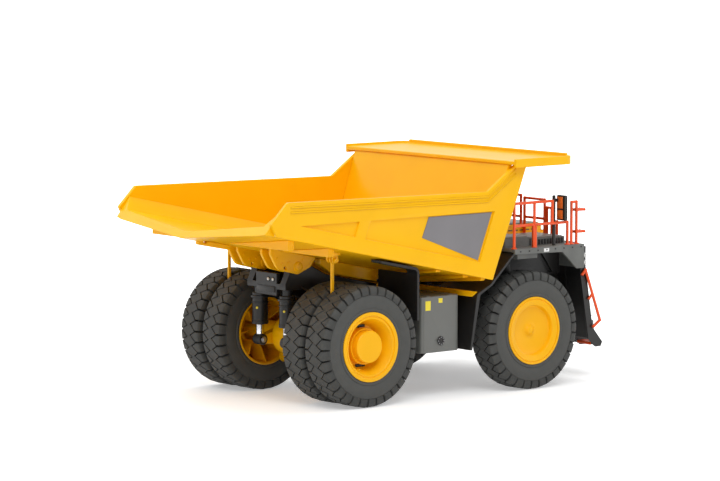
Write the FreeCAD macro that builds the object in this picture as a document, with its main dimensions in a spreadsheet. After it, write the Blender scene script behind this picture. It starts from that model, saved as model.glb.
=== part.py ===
"""Rigid dump truck, a 1:50 scale model: frame, suspension, cab, deck, tipping bed and wheels.

Millimetres.  +X forward, +Y to the left, +Z up.  The ground is z = 0 and the origin lies on
it, midway along the model and on its centre plane.  Every size is a cell of the sheet "Sizes",
and each piece is an object of the document whose features are bound to those cells.  Places
along the model are given ahead of the rear axle.
"""
import FreeCAD, Part
import math
import os
import Sketcher
from FreeCAD import Vector

doc = FreeCAD.newDocument("rigid_dump_truck")
sheet = doc.addObject("Spreadsheet::Sheet", "Sizes")

SIZES = {
    # axles and wheels
    "rear_axle_x": -44.7, "wheelbase": 91.5, "tyre_radius": 26.0, "tyre_width": 13.6,
    "tyre_lugs": 33, "lug_depth": 3.0, "lug_gap": 1.5, "lug_reach": 3.7, "rim_lip_radius": 14.9,
    "rim_wall": 1.2, "rim_edge": 0.9, "dual_gap": 1.8, "rear_track_half": 36.0,
    "front_track_half": 45.2, "hub_radius": 6.9, "hub_inset": 0.9, "hub_cap": 1.5, "web": 6.0,
    "dish_radius": 12.6, "dish_depth": 5.0, "hand_hole": 1.1, "hand_hole_ring": 8.4,
    "disc_radius": 10.8, "ring_inset": 1.0, "disc_inset": 2.3, "disc_wall": 2.0,
    "nub_radius": 1.6, "nub_height": 0.6, "spindle_radius": 3.0, "spindle_gap": 0.3,
    "running_gap": 0.05,
    # frame
    "rail_inner": 9.5, "rail_width": 4.0, "rail_gap": 1.2, "rail_level_x": 60.0,
    "rail_drop_x": 118.0, "rail_low": 22.0, "rail_rise_x": 30.0, "rail_kick_x": 16.0,
    "rail_kick_z": 38.0, "horn_rear_x": 106.0, "horn_bend_x": 96.0, "horn_depth": 8.0,
    "collar_rear": -17.0, "collar_front": -8.0, "collar_low": 48.0, "collar_high": 50.6,
    "lamp_bar_half": 7.2, "lamp_bar_low": 45.2, "lamp_bar_high": 55.0, "lamp_bar_wall": 2.0,
    "cross_width": 6.0, "cross_rear_x": 34.0, "cross_rear_z": 30.0, "cross_mid_x": 74.0,
    "cross_mid_z": 28.0, "cross_front_x": 126.0, "cross_front_z": 17.0, "screw_radius": 1.25,
    "screw_depth": 5.0, "screw_y": 5.5,
    # rear axle and suspension
    "housing_radius": 8.5, "housing_half": 7.0, "axle_tube_radius": 5.0, "axle_tube_start": 9.0,
    "axle_tube_gap": 1.0, "nose_front": 34.0, "nose_half": 4.0, "nose_low": 3.0, "strut_x": -13.0,
    "strut_y": 9.5, "strut_barrel": 3.4, "strut_low": 32.0, "strut_high": 45.2, "strut_neck": 2.3,
    "strut_rod": 1.6, "strut_eye_z": 24.7, "arm_half": 2.0, "arm_tip": 14.8,
    # bed pivot and slope
    "pivot_x": -11.6, "pivot_z": 58.1, "pivot_radius": 1.6, "pivot_boss": 3.3, "pivot_crown": 2.5,
    "bed_slope": 0.22, "bed_centre_z": 62.0, "bracket_plate": 1.6, "side_gap": 0.3,
    "bracket_hole": 0.7, "bracket_hole_x": 6.9, "bracket_rear": 14.8, "bracket_heel": 11.0,
    "bracket_drop": 0.5, "bracket_heel_rise": 6.1, "bracket_heel_round": 4.5, "bracket_toe": 7.0,
    "bracket_front": 9.8, "bracket_round": 2.2,
    # bed shell
    "bed_half_width": 54.5, "bed_wall": 1.8, "floor_wall": 2.4, "chine_width": 4.7,
    "floor_rise": 6.4, "chine_rise": 12.8, "bolster_low": 2.7, "bolster_rise": 9.35,
    "tail_x": -60.1, "tail_lean": 0.82, "tail_beam": 2.0, "tail_beam_reach": 6.0,
    "bed_front_x": 65.0, "bed_front_z": 50.4, "bed_front_lean": 0.398, "headboard_low_z": 44.0,
    "headboard_wall": 2.5, "headboard_set": 5.7, "headboard_lean": 0.32, "rail_top_z": 90.4,
    "post_top_z": 99.9, "post_top_x": 78.0, "post_kink_x": 62.0, "post_kink_z": 88.9,
    "tail_top_x": -47.6, "tail_corner_x": -56.5, "tail_corner_z": 81.7, "tail_foot_x": -53.8,
    "relief_depth": 1.0, "relief_top_z": 80.2, "rib_rear_x": -9.4, "rib_front_x": -3.4,
    "relief_front_x": 66.0, "bead_proud": 0.35, "bead_width": 0.9, "bead_rear_x": -46.4,
    "bead_first": 2.1, "bead_second": 4.2,
    # under the bed
    "beam_depth": 5.5, "beam_rear_x": 2.0, "beam_front_x": 57.2, "floor_rib": 3.0,
    "floor_rib_half": 48.0, "rib_tail_x": -42.5, "rib_tail_z": 69.4, "rib_mid_x": -21.1,
    "rib_mid_z": 65.4, "bolster_mid_x": 38.0, "bolster_front_x": 53.4, "bolster_depth": 2.6,
    "rest_bar_half": 53.6, "rest_bar_low": 43.4, "rest_bar_height": 2.4, "rest_bar_slant": 3.4,
    "rest_bar_wall": 1.5, "keel_half": 1.2, "keel_rear_x": -54.0, "keel_rear_z": 69.2,
    "keel_front_x": -37.0, "keel_front_z": 65.8, "keel_hole_x": -50.3, "keel_hole_z": 70.5,
    "keel_hole": 0.9, "frame_gap": 0.4, "panel_sheet": 0.25, "panel_rear_x": 29.2,
    "panel_front_x": 64.9, "panel_gap": 0.3, "panel_rear_lean": 3.7, "panel_rear_drop": 8.7,
    "panel_front_lean": 8.0, "panel_front_drop": 20.4, "ejector_x": -9.5, "ejector_low": 46.0,
    "ejector_half": 0.6, "ejector_lap": 0.5, "ejector_pin": 0.6, "ejector_eye": 1.5,
    "ejector_eye_z": 62.8, "ejector_ear": 0.8, "ejector_plate": 2.2,
    # canopy
    "canopy_rear_x": 74.5, "canopy_front_x": 109.3, "canopy_half_width": 58.5,
    "canopy_top_z": 102.6, "canopy_plate": 1.6, "canopy_lip": 3.8, "canopy_lip_wall": 1.4,
    "canopy_corner": 5.0, "canopy_sunk": 1.0, "canopy_front_rise": 0.8,
    # deck
    "deck_z": 62.5, "deck_plate": 1.5, "deck_half_width": 52.0, "deck_rear_x": 80.0,
    "deck_front_x": 121.0, "deck_wall": 1.2, "skirt_rear_z": 60.2, "skirt_z": 59.6,
    "nose_z": 51.7, "nose_rear_x": 116.6, "nose_bend_x": 108.0, "nose_width": 15.5,
    "locker_rear_x": 81.0, "locker_split_x": 95.8, "locker_front_x": 116.6,
    "locker_inner_y": 24.0, "locker_outer_y": 44.0, "locker_rear_z": 66.5, "locker_front_z": 65.6,
    "locker_gap": 0.6, "under_box_rear_x": 84.0, "under_box_z": 57.6, "under_box_inner_y": 38.0,
    "under_box_outer_y": 49.0, "hood_cover_rear_x": 84.0, "hood_cover_front_x": 131.0,
    "hood_cover_z": 68.3,
    # cab
    "cab_inner_y": 14.0, "cab_outer_y": 49.0, "cab_rear_x": 86.0, "cab_front_x": 116.0,
    "cab_height": 33.0, "cab_wall": 1.4, "cab_pane": 0.6, "cab_sill": 14.0, "cab_head": 3.0,
    "cab_pillar": 3.0, "cab_post": 4.0, "quarter_end": 13.0, "door_rear": 15.0, "door_front": 2.5,
    "door_head": 2.4, "door_gap": 0.15, "door_frame": 2.5, "door_sill": 12.0,
    "door_pane_front": 5.0, "door_pane_top": 5.0, "roof_edge": 0.8, "roof_visor": 1.6,
    "seat_rear": 8.0, "seat_length": 9.0, "seat_half": 5.0, "seat_height": 8.0, "seat_back": 21.0,
    "seat_back_wall": 3.0, "console_height": 12.0, "console_depth": 3.0, "console_foot": 5.0,
    "console_gap": 4.0,
    # hood and front
    "hood_half_width": 21.0, "hood_front_x": 136.0, "hood_low_z": 24.0, "hood_side_z": 46.0,
    "hood_rear_z": 50.0, "hood_foot": 14.0, "hood_foot_rear": 22.0, "hood_gap": 1.0,
    "hood_step_z": 65.0, "hood_step_front_x": 133.0, "grille_edge": 3.0, "grille_end": 4.0,
    "core_wall": 1.2, "slat_height": 1.0, "slat_pitch": 3.2, "slats": 9, "bumper_front_x": 150.0,
    "bumper_depth": 8.0, "bumper_half_width": 29.0, "bumper_low": 14.0, "bumper_high": 24.0,
    "bumper_corner": 3.5, "bumper_bevel": 2.5, "lamp_radius": 2.3, "lamp_inner_y": 12.0,
    "lamp_outer_y": 18.0, "lamp_pocket": 1.6, "lamp_proud": 0.4, "lamp_z": 19.2,
    "marker_radius": 1.1, "marker_y": 50.8, "marker_high_z": 57.2, "marker_low_z": 54.0,
    "marker_proud": 1.5,
    # engine and drive line
    "engine_rear_x": 84.0, "engine_front_x": 118.0, "engine_height": 17.0, "gearbox_rear_x": 80.3,
    "gearbox_front_x": 100.0, "gearbox_half": 8.0, "gearbox_low": 22.5, "shaft_radius": 1.5,
    "shaft_z": 26.0,
    # tanks and guards
    "tank_rear_x": 31.5, "tank_front_x": 53.0, "tank_outer_y": 46.0, "tank_inner_y": 24.0,
    "tank_low": 20.0, "tank_high": 44.5, "tank_corner": 1.5, "tank_bracket": 3.0,
    "tank_bracket_low": 6.0, "tank_bracket_high": 12.0, "cap_x": 42.2, "cap_z": 25.0,
    "cap_radius": 2.0, "cap_proud": 0.5, "sheet_lap": 0.5, "guard_sheet": 1.2,
    "rear_guard_x": 26.8, "rear_guard_low": 35.0, "rear_guard_reach": 19.8,
    "rear_guard_bend": 3.0, "guard_outer_y": 49.0, "guard_inner_y": 22.5, "guard_gap": 0.9,
    "guard_step_y": 42.0, "guard_stay": 4.0, "guard_stay_width": 6.0, "front_guard_low_x": 55.6,
    "front_guard_low_z": 20.0, "front_guard_knee_x": 59.5, "front_guard_knee_z": 44.3,
    "front_guard_bend_x": 67.2, "front_guard_bend_z": 48.1, "front_guard_top_x": 81.0,
    "front_guard_round": 3.0, "front_guard_inset": 1.5, "guard_foot_low": 34.0,
    "guard_foot_high": 40.0, "liner_gap": 0.2, "liner_low": 46.0, "liner_slot_x": 116.1,
    "liner_slot_lean": 0.65, "liner_slot": 2.8, "liner_front_x": 134.0,
    # steering
    "kingpin_y": 30.0, "kingpin_radius": 1.6, "kingpin_reach": 11.0, "king_strut": 4.0,
    "king_strut_top": 56.0, "king_strut_low": 33.0, "king_bore": 12.0, "beam_half": 3.0,
    "beam_low": 36.0, "beam_high": 44.0, "knuckle_low": 6.0, "knuckle_gap": 0.3, "steer_arm": 9.0,
    "arm_edge": 1.5, "arm_depth": 2.5, "arm_pin": 0.8, "arm_pin_drop": 2.0, "rod_rear": 1.8,
    "rod_front": 3.0, "rod_end": 2.5, "rod_low": 1.7, "rod_high": 0.2, "rod_slot": 1.1,
    "rod_slot_front": 2.2,
    # hoists
    "hoist_y": 17.4, "hoist_radius": 2.4, "hoist_rod_radius": 1.4, "hoist_foot_x": 8.0,
    "hoist_foot_z": 15.0, "hoist_head_x": 34.0, "hoist_head_z": 50.0, "hoist_eye": 3.0,
    "hoist_eye_half": 2.0, "barrel_start": 0.05, "barrel_end": 0.86, "bore_start": 0.1,
    "rod_start": 0.12, "rod_stop": 0.96, "rod_eye": 2.9, "rod_eye_bore": 2.0, "rod_eye_half": 1.2,
    "head_pin": 1.0, "head_pin_reach": 1.4, "bracket_arm": 3.0, "bracket_arm_run": 24.0,
    "bracket_arm_knee": 15.0,
    # handrails, mirrors and stairs
    "tube": 0.65, "rail_bar": 0.6, "side_rail_y": 50.2, "side_rail_rear_x": 81.0,
    "side_rail_high": 82.3, "side_rail_mid": 72.5, "side_rail_front_x": 103.4,
    "mid_rail_front_x": 112.3, "post_x": 92.8, "post_radius": 1.15, "hoop_rear_x": 114.7,
    "hoop_front_x": 117.7, "hoop_high": 81.2, "hoop_bar_high": 77.5, "hoop_bar_low": 67.8,
    "hoop_reach_x": 122.4, "hoop_bar_inset": 3.0, "gate_x": 119.5, "gate_high": 80.4,
    "gate_bar": 71.8, "gate_outer_y": 27.3, "gate_inner_y": 13.8, "far_gate_outer_y": 11.4,
    "far_gate_inner_y": -4.0, "small_hoop_outer_y": 32.0, "small_hoop_inner_y": 28.9,
    "small_hoop_high": 77.0, "lone_post_y": 35.5, "mirror_arm_x": 105.6,
    "left_mirror_arm_x": 119.4, "mirror_arm_radius": 0.75, "mirror_arm_y": 48.7,
    "left_mirror_gap": 4.2, "mirror_low": 73.4, "mirror_high": 84.6, "mirror_gap": 2.4,
    "mirror_wall": 1.8, "mirror_outer": 2.4, "mirror_inner": 2.9, "mirror_corner": 0.7,
    "stair_outer_y": 49.5, "stair_width": 11.0, "stringer": 1.0, "stair_foot_x": 134.5,
    "stair_foot_z": 16.5, "stair_bend_z": 52.0, "stair_depth": 3.2, "stair_heel": 8.5,
    "stair_heel_rise": 3.0, "stair_toe": 4.0, "stair_toe_drop": 1.0, "stair_knee": 6.0,
    "stair_knee_rise": 8.0, "stair_steps": 6, "stair_top_step": 48.0, "step_wall": 0.8,
    "step_depth": 3.5, "step_taper": 1.5, "stair_rail_top_x": 123.4, "stair_rail_top_z": 50.5,
    "stair_rail_knee_x": 132.2, "stair_rail_knee_z": 27.4, "stair_rail_foot_x": 129.0,
    "stair_rail_foot_z": 24.6, "stay_x": 127.6, "stay_z": 39.5, "stay_run": 2.2,
}


class Size:
    """A cell, or sum of cells, that carries both its expression and its value."""

    def __init__(self, text, value):
        self.text, self.value = text, value

    def _join(self, other, sign, swap=False):
        other = other if isinstance(other, Size) else Size(repr(float(other)), float(other))
        left, right = (other, self) if swap else (self, other)
        value = {"+": left.value + right.value, "-": left.value - right.value,
                 "*": left.value * right.value,
                 "/": left.value / right.value if right.value else 0.0}[sign]
        return Size(f"({left.text} {sign} {right.text})", value)

    def __add__(self, other):
        return self._join(other, "+")

    def __sub__(self, other):
        return self._join(other, "-")

    def __mul__(self, other):
        return self._join(other, "*")

    def __truediv__(self, other):
        return self._join(other, "/")

    def __radd__(self, other):
        return self._join(other, "+", True)

    def __rsub__(self, other):
        return self._join(other, "-", True)

    def __rmul__(self, other):
        return self._join(other, "*", True)

    def __neg__(self):
        return self._join(0, "-", True)


for row, (alias, number) in enumerate(SIZES.items(), start=1):
    sheet.set(f"A{row}", alias.replace("_", " "))
    sheet.set(f"B{row}", str(number))
    sheet.setAlias(f"B{row}", alias)
doc.recompute()
CELL = {alias: Size(f"Sizes.{alias}", number) for alias, number in SIZES.items()}


def cell(alias):
    return CELL[alias]


def size(value):
    return value if isinstance(value, Size) else Size(repr(float(value)), float(value))


def bind(target, name, value):
    """Keep a property bound to the value's expression."""
    target.setExpression(name, size(value).text)


# ---------------------------------------------------------------- features of a body
def new_body(label):
    body = doc.addObject("PartDesign::Body", label)
    body.Label = label
    return body


def new_sketch(body, role, offset=0):
    """A sketch on one of the body's origin planes, moved along that plane's normal."""
    plane = next(item for item in body.Origin.OriginFeatures if item.Role == role)
    sketch = body.newObject("Sketcher::SketchObject", "Sketch")
    sketch.AttachmentSupport = (plane, [""])
    sketch.MapMode = "FlatFace"
    bind(sketch, ".AttachmentOffset.Base.z", offset)
    return sketch


class Drawing:
    """Geometry for one sketch, whose constraints are added together and then bound."""

    def __init__(self, sketch):
        self.sketch = sketch
        self.constraints, self.bound = [], []

    def hold(self, *arguments, value=None):
        """Add a constraint, bound to a value where it has one."""
        if value is not None:
            value = size(value)
            self.bound.append((len(self.constraints), value.text))
            arguments += (value.value,)
        self.constraints.append(Sketcher.Constraint(*arguments))

    def pin(self, geometry, vertex, point):
        """Hold one vertex at a pair of sizes."""
        self.hold("DistanceX", -1, 1, geometry, vertex, value=point[0])
        self.hold("DistanceY", -1, 1, geometry, vertex, value=point[1])

    def circle(self, centre, radius):
        where = Vector(size(centre[0]).value, size(centre[1]).value, 0)
        round_edge = Part.Circle(where, Vector(0, 0, 1), size(radius).value)
        number = self.sketch.addGeometry(round_edge, False)
        self.pin(number, 3, centre)
        self.hold("Radius", number, value=radius)

    def outline(self, points):
        """A closed outline whose corners are pairs of sizes, with a third where rounded."""
        points = [[size(value) for value in point] for point in points]
        corners = [Vector(point[0].value, point[1].value, 0) for point in points]
        ends = [self.corner_ends(points, corners, number) for number in range(len(points))]
        first = self.sketch.GeometryCount
        for number in range(len(points)):
            leave, arrive = ends[number][1], ends[(number + 1) % len(points)][0]
            self.sketch.addGeometry(Part.LineSegment(leave, arrive), False)
        for number, point in enumerate(points):
            before = first + (number - 1) % len(points)
            if len(point) == 2:
                self.hold("Coincident", before, 2, first + number, 1)
                self.pin(first + number, 1, point)
            else:
                self.round_corner(before, first + number, corners[number], ends[number], point)

    def corner_ends(self, points, corners, number):
        """Where the edges on each side of a corner meet it, or its round."""
        here = corners[number]
        if len(points[number]) == 2:
            return here, here
        back = (corners[number - 1] - here).normalize()
        ahead = (corners[(number + 1) % len(corners)] - here).normalize()
        reach = points[number][2].value / math.tan(back.getAngle(ahead) / 2)
        return here + back * reach, here + ahead * reach

    def round_corner(self, before, after, corner, ends, point):
        """An arc tangent to both edges of a corner, which stays where the edges would meet."""
        back, ahead = (ends[0] - corner).normalize(), (ends[1] - corner).normalize()
        half = back.getAngle(ahead) / 2
        centre = corner + (back + ahead).normalize() * (point[2].value / math.sin(half))
        left_turn = back.cross(ahead).z < 0
        start, end = ends if left_turn else (ends[1], ends[0])
        angles = [math.atan2(spot.y - centre.y, spot.x - centre.x) for spot in (start, end)]
        if angles[1] < angles[0]:
            angles[1] += 2 * math.pi
        circle = Part.Circle(centre, Vector(0, 0, 1), point[2].value)
        arc = self.sketch.addGeometry(Part.ArcOfCircle(circle, *angles), False)
        meet = self.sketch.addGeometry(Part.Point(corner), True)
        self.hold("Tangent", before, 2, arc, 1 if left_turn else 2)
        self.hold("Tangent", after, 1, arc, 2 if left_turn else 1)
        self.hold("Radius", arc, value=point[2])
        self.hold("PointOnObject", meet, 1, before)
        self.hold("PointOnObject", meet, 1, after)
        self.pin(meet, 1, point)

    def finish(self):
        first = self.sketch.ConstraintCount
        self.sketch.addConstraint(self.constraints)
        for number, text in self.bound:
            self.sketch.setExpression(f"Constraints[{first + number}]", text)


def draw(sketch, outlines):
    """Draw outlines, each a list of corners or a (centre, radius) pair."""
    drawing = Drawing(sketch)
    for outline in outlines:
        if len(outline) == 2:
            drawing.circle(*outline)
        else:
            drawing.outline(outline)
    drawing.finish()


PLANES = {"XY": "XY_Plane", "XZ": "XZ_Plane", "YZ": "YZ_Plane"}


def extrude(body, plane, outlines, low, high, cutting=False):
    """Pad or pocket outlines drawn on a plane between two places along its axis.

    The XZ plane's normal is -Y, so there the pad starts at the high place.
    """
    low, high = size(low), size(high)
    if low.value > high.value:
        low, high = high, low
    sketch = new_sketch(body, PLANES[plane], -high if plane == "XZ" else low)
    draw(sketch, outlines)
    feature = body.newObject("PartDesign::Pocket" if cutting else "PartDesign::Pad", "Feature")
    feature.Profile = sketch
    feature.Reversed = cutting
    bind(feature, "Length", high - low)
    return feature


def bar(body, plane, outline, low, high):
    return extrude(body, plane, [outline], low, high)


def cut(body, plane, outline, low, high):
    return extrude(body, plane, [outline], low, high, cutting=True)


def rectangle(low, high, corner=None):
    """Corners of an upright rectangle from its low and high corner, rounded if asked."""
    corners = [(low[0], low[1]), (high[0], low[1]), (high[0], high[1]), (low[0], high[1])]
    return [point + (corner,) for point in corners] if corner else corners


def box(body, low, high, corner=None):
    """A block between two corners, as a pad from its lowest face."""
    return bar(body, "XY", rectangle(low[:2], high[:2], corner), low[2], high[2])


def turn(body, outline):
    """Revolve an outline of (across, radius) corners about the body's own Y axis."""
    sketch = new_sketch(body, "YZ_Plane")
    draw(sketch, [outline])
    feature = body.newObject("PartDesign::Revolution", "Turned")
    feature.Profile = sketch
    feature.ReferenceAxis = (sketch, ["H_Axis"])
    feature.Angle = 360
    return feature


def place(body, along=0, across=0, up=0):
    for axis, value in zip("xyz", (along, across, up)):
        bind(body, f".Placement.Base.{axis}", value)


# ---------------------------------------------------------------- shared places
REAR_X = cell("rear_axle_x")
FRONT_X = REAR_X + cell("wheelbase")
AXLE_Z = cell("tyre_radius")
RAIL_IN = cell("rail_inner")
RAIL_OUT = RAIL_IN + cell("rail_width")
PIVOT = (REAR_X + cell("pivot_x"), cell("pivot_z"))
BED_INNER = cell("bed_half_width") - cell("bed_wall")
FLOOR_HALF = BED_INNER - cell("chine_width")
SIDES = {"right": -1, "left": 1}
MARGIN = 1.0
FAR = 20.0


def ahead(distance):
    """Place along the model, ahead of the rear axle by a distance or a named size."""
    return REAR_X + (cell(distance) if isinstance(distance, str) else distance)


def floor_height(along, rise=0):
    """Height of the bed floor's centre line, plus a rise, at a place ahead of the rear axle."""
    along = cell(along) if isinstance(along, str) else along
    return cell("bed_centre_z") - cell("bed_slope") * along + rise


def front_line(height):
    """Place of the bed's leaning front edge at a height."""
    return ahead("bed_front_x") + (height - cell("bed_front_z")) * cell("bed_front_lean")


def headboard_line(height):
    """Place of the headboard's inner face at a height."""
    run = (height - cell("bed_front_z")) * cell("headboard_lean")
    return ahead("bed_front_x") + run - cell("headboard_set")


def sheared(body, outline, start, reach, cutting=False):
    """Pad or pocket that follows the bed's slope.

    The outline's corners are (across, rise above the floor's centre line), and it runs
    forward from a start ahead of the rear axle.
    """
    sketch = new_sketch(body, "YZ_Plane", ahead(start))
    draw(sketch, [[(across, floor_height(start, rise)) for across, rise in outline]])
    feature = body.newObject("PartDesign::Pocket" if cutting else "PartDesign::Pad", "Sheared")
    feature.Profile = sketch
    feature.UseCustomVector = True
    feature.Direction = Vector(1, 0, -cell("bed_slope").value)
    bind(feature, ".Direction.z", -cell("bed_slope"))
    feature.AlongSketchNormal = True
    bind(feature, "Length", reach)
    return feature


def trim_to_floor(body, start, reach):
    """Cut away all that rises into the bed's V floor over a stretch of its length."""
    low = cell("bolster_low")
    wide = cell("bed_half_width") + MARGIN
    sheared(body, [(-wide, low), (-FLOOR_HALF, low), (0, -cell("floor_wall")),
                   (FLOOR_HALF, low), (wide, low), (wide, FAR * 2), (-wide, FAR * 2)],
            start, reach, cutting=True)


# ---------------------------------------------------------------- wheels
def facet_directions():
    """Sine and cosine of each lug's middle and of the notch after it, a lug straight down."""
    count = SIZES["tyre_lugs"]
    for number in range(count):
        middle = 2 * math.pi * number / count - math.pi / 2
        notch = middle + math.pi / count
        yield (math.cos(middle), math.sin(middle)), (math.cos(notch), math.sin(notch))


def lug_outline():
    """Outline of a tyre's shoulder: flat lug tips with a V notch between each two."""
    radius = cell("tyre_radius")
    root = radius - cell("lug_depth")
    half_tip = radius * math.tan(math.pi / SIZES["tyre_lugs"]) - cell("lug_gap") / 2
    points = []
    for (cosine, sine), notch in facet_directions():
        for sign in (-1, 1):
            points.append((radius * cosine - half_tip * (sign * sine),
                           radius * sine + half_tip * (sign * cosine)))
        points.append((root * notch[0], root * notch[1]))
    return points


def facets(radius):
    """Outline with one flat for each lug, at a radius to the middle of the flats."""
    corner = radius / math.cos(math.pi / SIZES["tyre_lugs"])
    return [(corner * notch[0], corner * notch[1]) for middle, notch in facet_directions()]


def tyres(label, side, axle_x, centres):
    """Tyres on one wheel, out to the tips of their lugs."""
    body = new_body(label)
    half, reach = cell("tyre_width") / 2, cell("lug_reach")
    for centre in centres:
        inner, outer = (centre - half) * side, (centre + half) * side
        bar(body, "XZ", lug_outline(), inner, outer)
        bar(body, "XZ", facets(cell("tyre_radius")), inner + reach * side,
            outer - reach * side)
        cut(body, "XZ", facets(cell("rim_lip_radius")), inner, outer)
    place(body, axle_x, 0, AXLE_Z)
    return body


def rim_rear(label, side):
    """Both rims of a twin wheel and their hub, as one casting with two hand holes."""
    body = new_body(label)
    outer = cell("dual_gap") / 2 + cell("tyre_width")
    lip, wall, edge = cell("rim_lip_radius"), cell("rim_wall"), cell("rim_edge")
    bore = cell("spindle_radius") + cell("running_gap")
    face, hub = outer - cell("dish_depth"), cell("hub_radius")
    back = face - cell("web")
    cap = outer - cell("hub_inset")
    inside = cap - cell("hub_cap")
    turn(body, [(side * -outer, lip), (side * outer, lip), (side * outer, lip - wall / 2),
                (side * (outer - edge), lip - wall),
                (side * face, cell("dish_radius")), (side * face, hub),
                (side * (cap - edge), hub), (side * cap, hub - edge), (side * cap, 0),
                (side * inside, 0), (side * inside, bore), (side * back, bore),
                (side * back, lip - wall), (side * (edge - outer), lip - wall),
                (side * -outer, lip - wall / 2)])
    for sign in (-1, 1):
        cut(body, "XZ", ((size(0), cell("hand_hole_ring") * sign), cell("hand_hole")),
            side * back, side * face)
    place(body, REAR_X, cell("rear_track_half") * side, AXLE_Z)
    return body


def rim_front(label, side):
    """A front rim: a broad ring round a sunk disc with a nub at its middle."""
    body = new_body(label)
    half = cell("tyre_width") / 2
    lip, wall, edge = cell("rim_lip_radius"), cell("rim_wall"), cell("rim_edge")
    bore = cell("spindle_radius") + cell("running_gap")
    ring, disc = half - cell("ring_inset"), half - cell("disc_inset")
    radius, nub = cell("disc_radius"), cell("nub_radius")
    inside = disc - cell("disc_wall")
    turn(body, [(side * -half, lip), (side * half, lip), (side * half, lip - wall / 2),
                (side * (half - edge), lip - wall), (side * ring, radius + edge / 2),
                (side * (ring - edge / 2), radius), (side * disc, radius - edge / 2),
                (side * disc, nub + edge), (side * (disc + cell("nub_height")), nub),
                (side * (disc + cell("nub_height")), 0), (side * inside, 0),
                (side * inside, bore), (side * -half, bore), (side * -half, bore + wall * 2),
                (side * inside, bore + wall * 3), (side * inside, lip - wall),
                (side * (edge - half), lip - wall), (side * -half, lip - wall / 2)])
    place(body, FRONT_X, cell("front_track_half") * side, AXLE_Z)
    return body


def wheels():
    twin = (cell("dual_gap") + cell("tyre_width")) / 2
    rear = cell("rear_track_half")
    for name, side in SIDES.items():
        tyres(f"tyre_front_{name}", side, FRONT_X, (cell("front_track_half"),))
        rim_front(f"rim_front_{name}", side)
        tyres(f"tyres_rear_{name}", side, REAR_X, (rear - twin, rear + twin))
        rim_rear(f"rim_rear_{name}", side)


# ---------------------------------------------------------------- frame and axles
def rail_top(along):
    """Height of the frame rails' top, under the bed's beams."""
    return floor_height(along, -cell("beam_depth") - cell("frame_gap") - cell("rail_gap"))


def frame():
    """Two side rails joined by cross members, with the bed's pivot ears at the rear."""
    body = new_body("frame_rails")
    low, high = cell("collar_low"), cell("collar_high")
    boss, crown = cell("pivot_boss"), cell("pivot_crown")
    px, pz = PIVOT
    collar_rear, collar_front = ahead("collar_rear"), ahead("collar_front")
    front = ahead("bumper_front_x") - cell("bumper_depth")
    level, horn = rail_top("rail_level_x"), cell("hood_low_z")
    drop, ramp = ahead("rail_drop_x"), cell("pivot_boss") * 5
    for side in SIDES.values():
        bar(body, "XZ", [(collar_rear, high), (px - boss, pz - boss), (px - boss, pz + crown),
                         (px + boss, pz + crown),
                         (px + ramp, rail_top(cell("pivot_x") + ramp)),
                         (ahead("rail_level_x"), level), (drop, level), (drop, horn),
                         (front, horn), (front, horn - cell("horn_depth")),
                         (ahead("horn_rear_x"), horn - cell("horn_depth")),
                         (ahead("horn_bend_x"), cell("rail_low")),
                         (ahead("rail_rise_x"), cell("rail_low")),
                         (ahead("rail_kick_x"), cell("rail_kick_z")),
                         (collar_front, low + MARGIN), (collar_rear, low + MARGIN)],
            RAIL_IN * side, RAIL_OUT * side)
    box(body, (collar_rear, -RAIL_OUT, low), (collar_front, RAIL_OUT, high))
    lamp_bar(body)
    cross_members(body)
    for side in SIDES.values():
        hoist_bracket(body, side)
    cut(body, "XZ", (PIVOT, cell("pivot_radius") + cell("running_gap")),
        -RAIL_OUT - MARGIN, RAIL_OUT + MARGIN)
    return body


def lamp_bar(body):
    """Upright plate across the frame's rear that carries the two tail lamps."""
    half, rear = cell("lamp_bar_half"), ahead("collar_rear")
    box(body, (rear, -half, cell("lamp_bar_low")),
        (rear + cell("lamp_bar_wall"), half, cell("lamp_bar_high")))


def cross_members(body):
    """Cross members; the first and last take a pair of display screws from below."""
    width = cell("cross_width")
    for spot, threaded in (("rear", True), ("mid", False), ("front", True)):
        along, low = ahead(f"cross_{spot}_x"), cell(f"cross_{spot}_z")
        box(body, (along, -RAIL_OUT, low), (along + width, RAIL_OUT, low + width))
        for side in SIDES.values() if threaded else ():
            cut(body, "XY", ((along + width / 2, cell("screw_y") * side), cell("screw_radius")),
                low, low + cell("screw_depth"))


def hoist_bracket(body, side):
    """Arm below a rail, with the pin that carries a hoist's foot."""
    foot_x, foot_z, arm = cell("hoist_foot_x"), cell("hoist_foot_z"), cell("bracket_arm")
    low = cell("rail_low")
    bar(body, "XZ", [(ahead(foot_x - arm), foot_z - arm),
                     (ahead(foot_x + arm), foot_z - arm),
                     (ahead(foot_x + cell("bracket_arm_run")), low + arm / 3),
                     (ahead(foot_x + cell("bracket_arm_run")), low + arm * 2),
                     (ahead(foot_x + cell("bracket_arm_knee")), low + arm * 3)],
        RAIL_IN * side, RAIL_OUT * side)
    bar(body, "XZ", ((ahead(foot_x), foot_z), cell("pivot_radius")),
        RAIL_OUT * side, (cell("hoist_y") + cell("hoist_radius")) * side)


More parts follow.
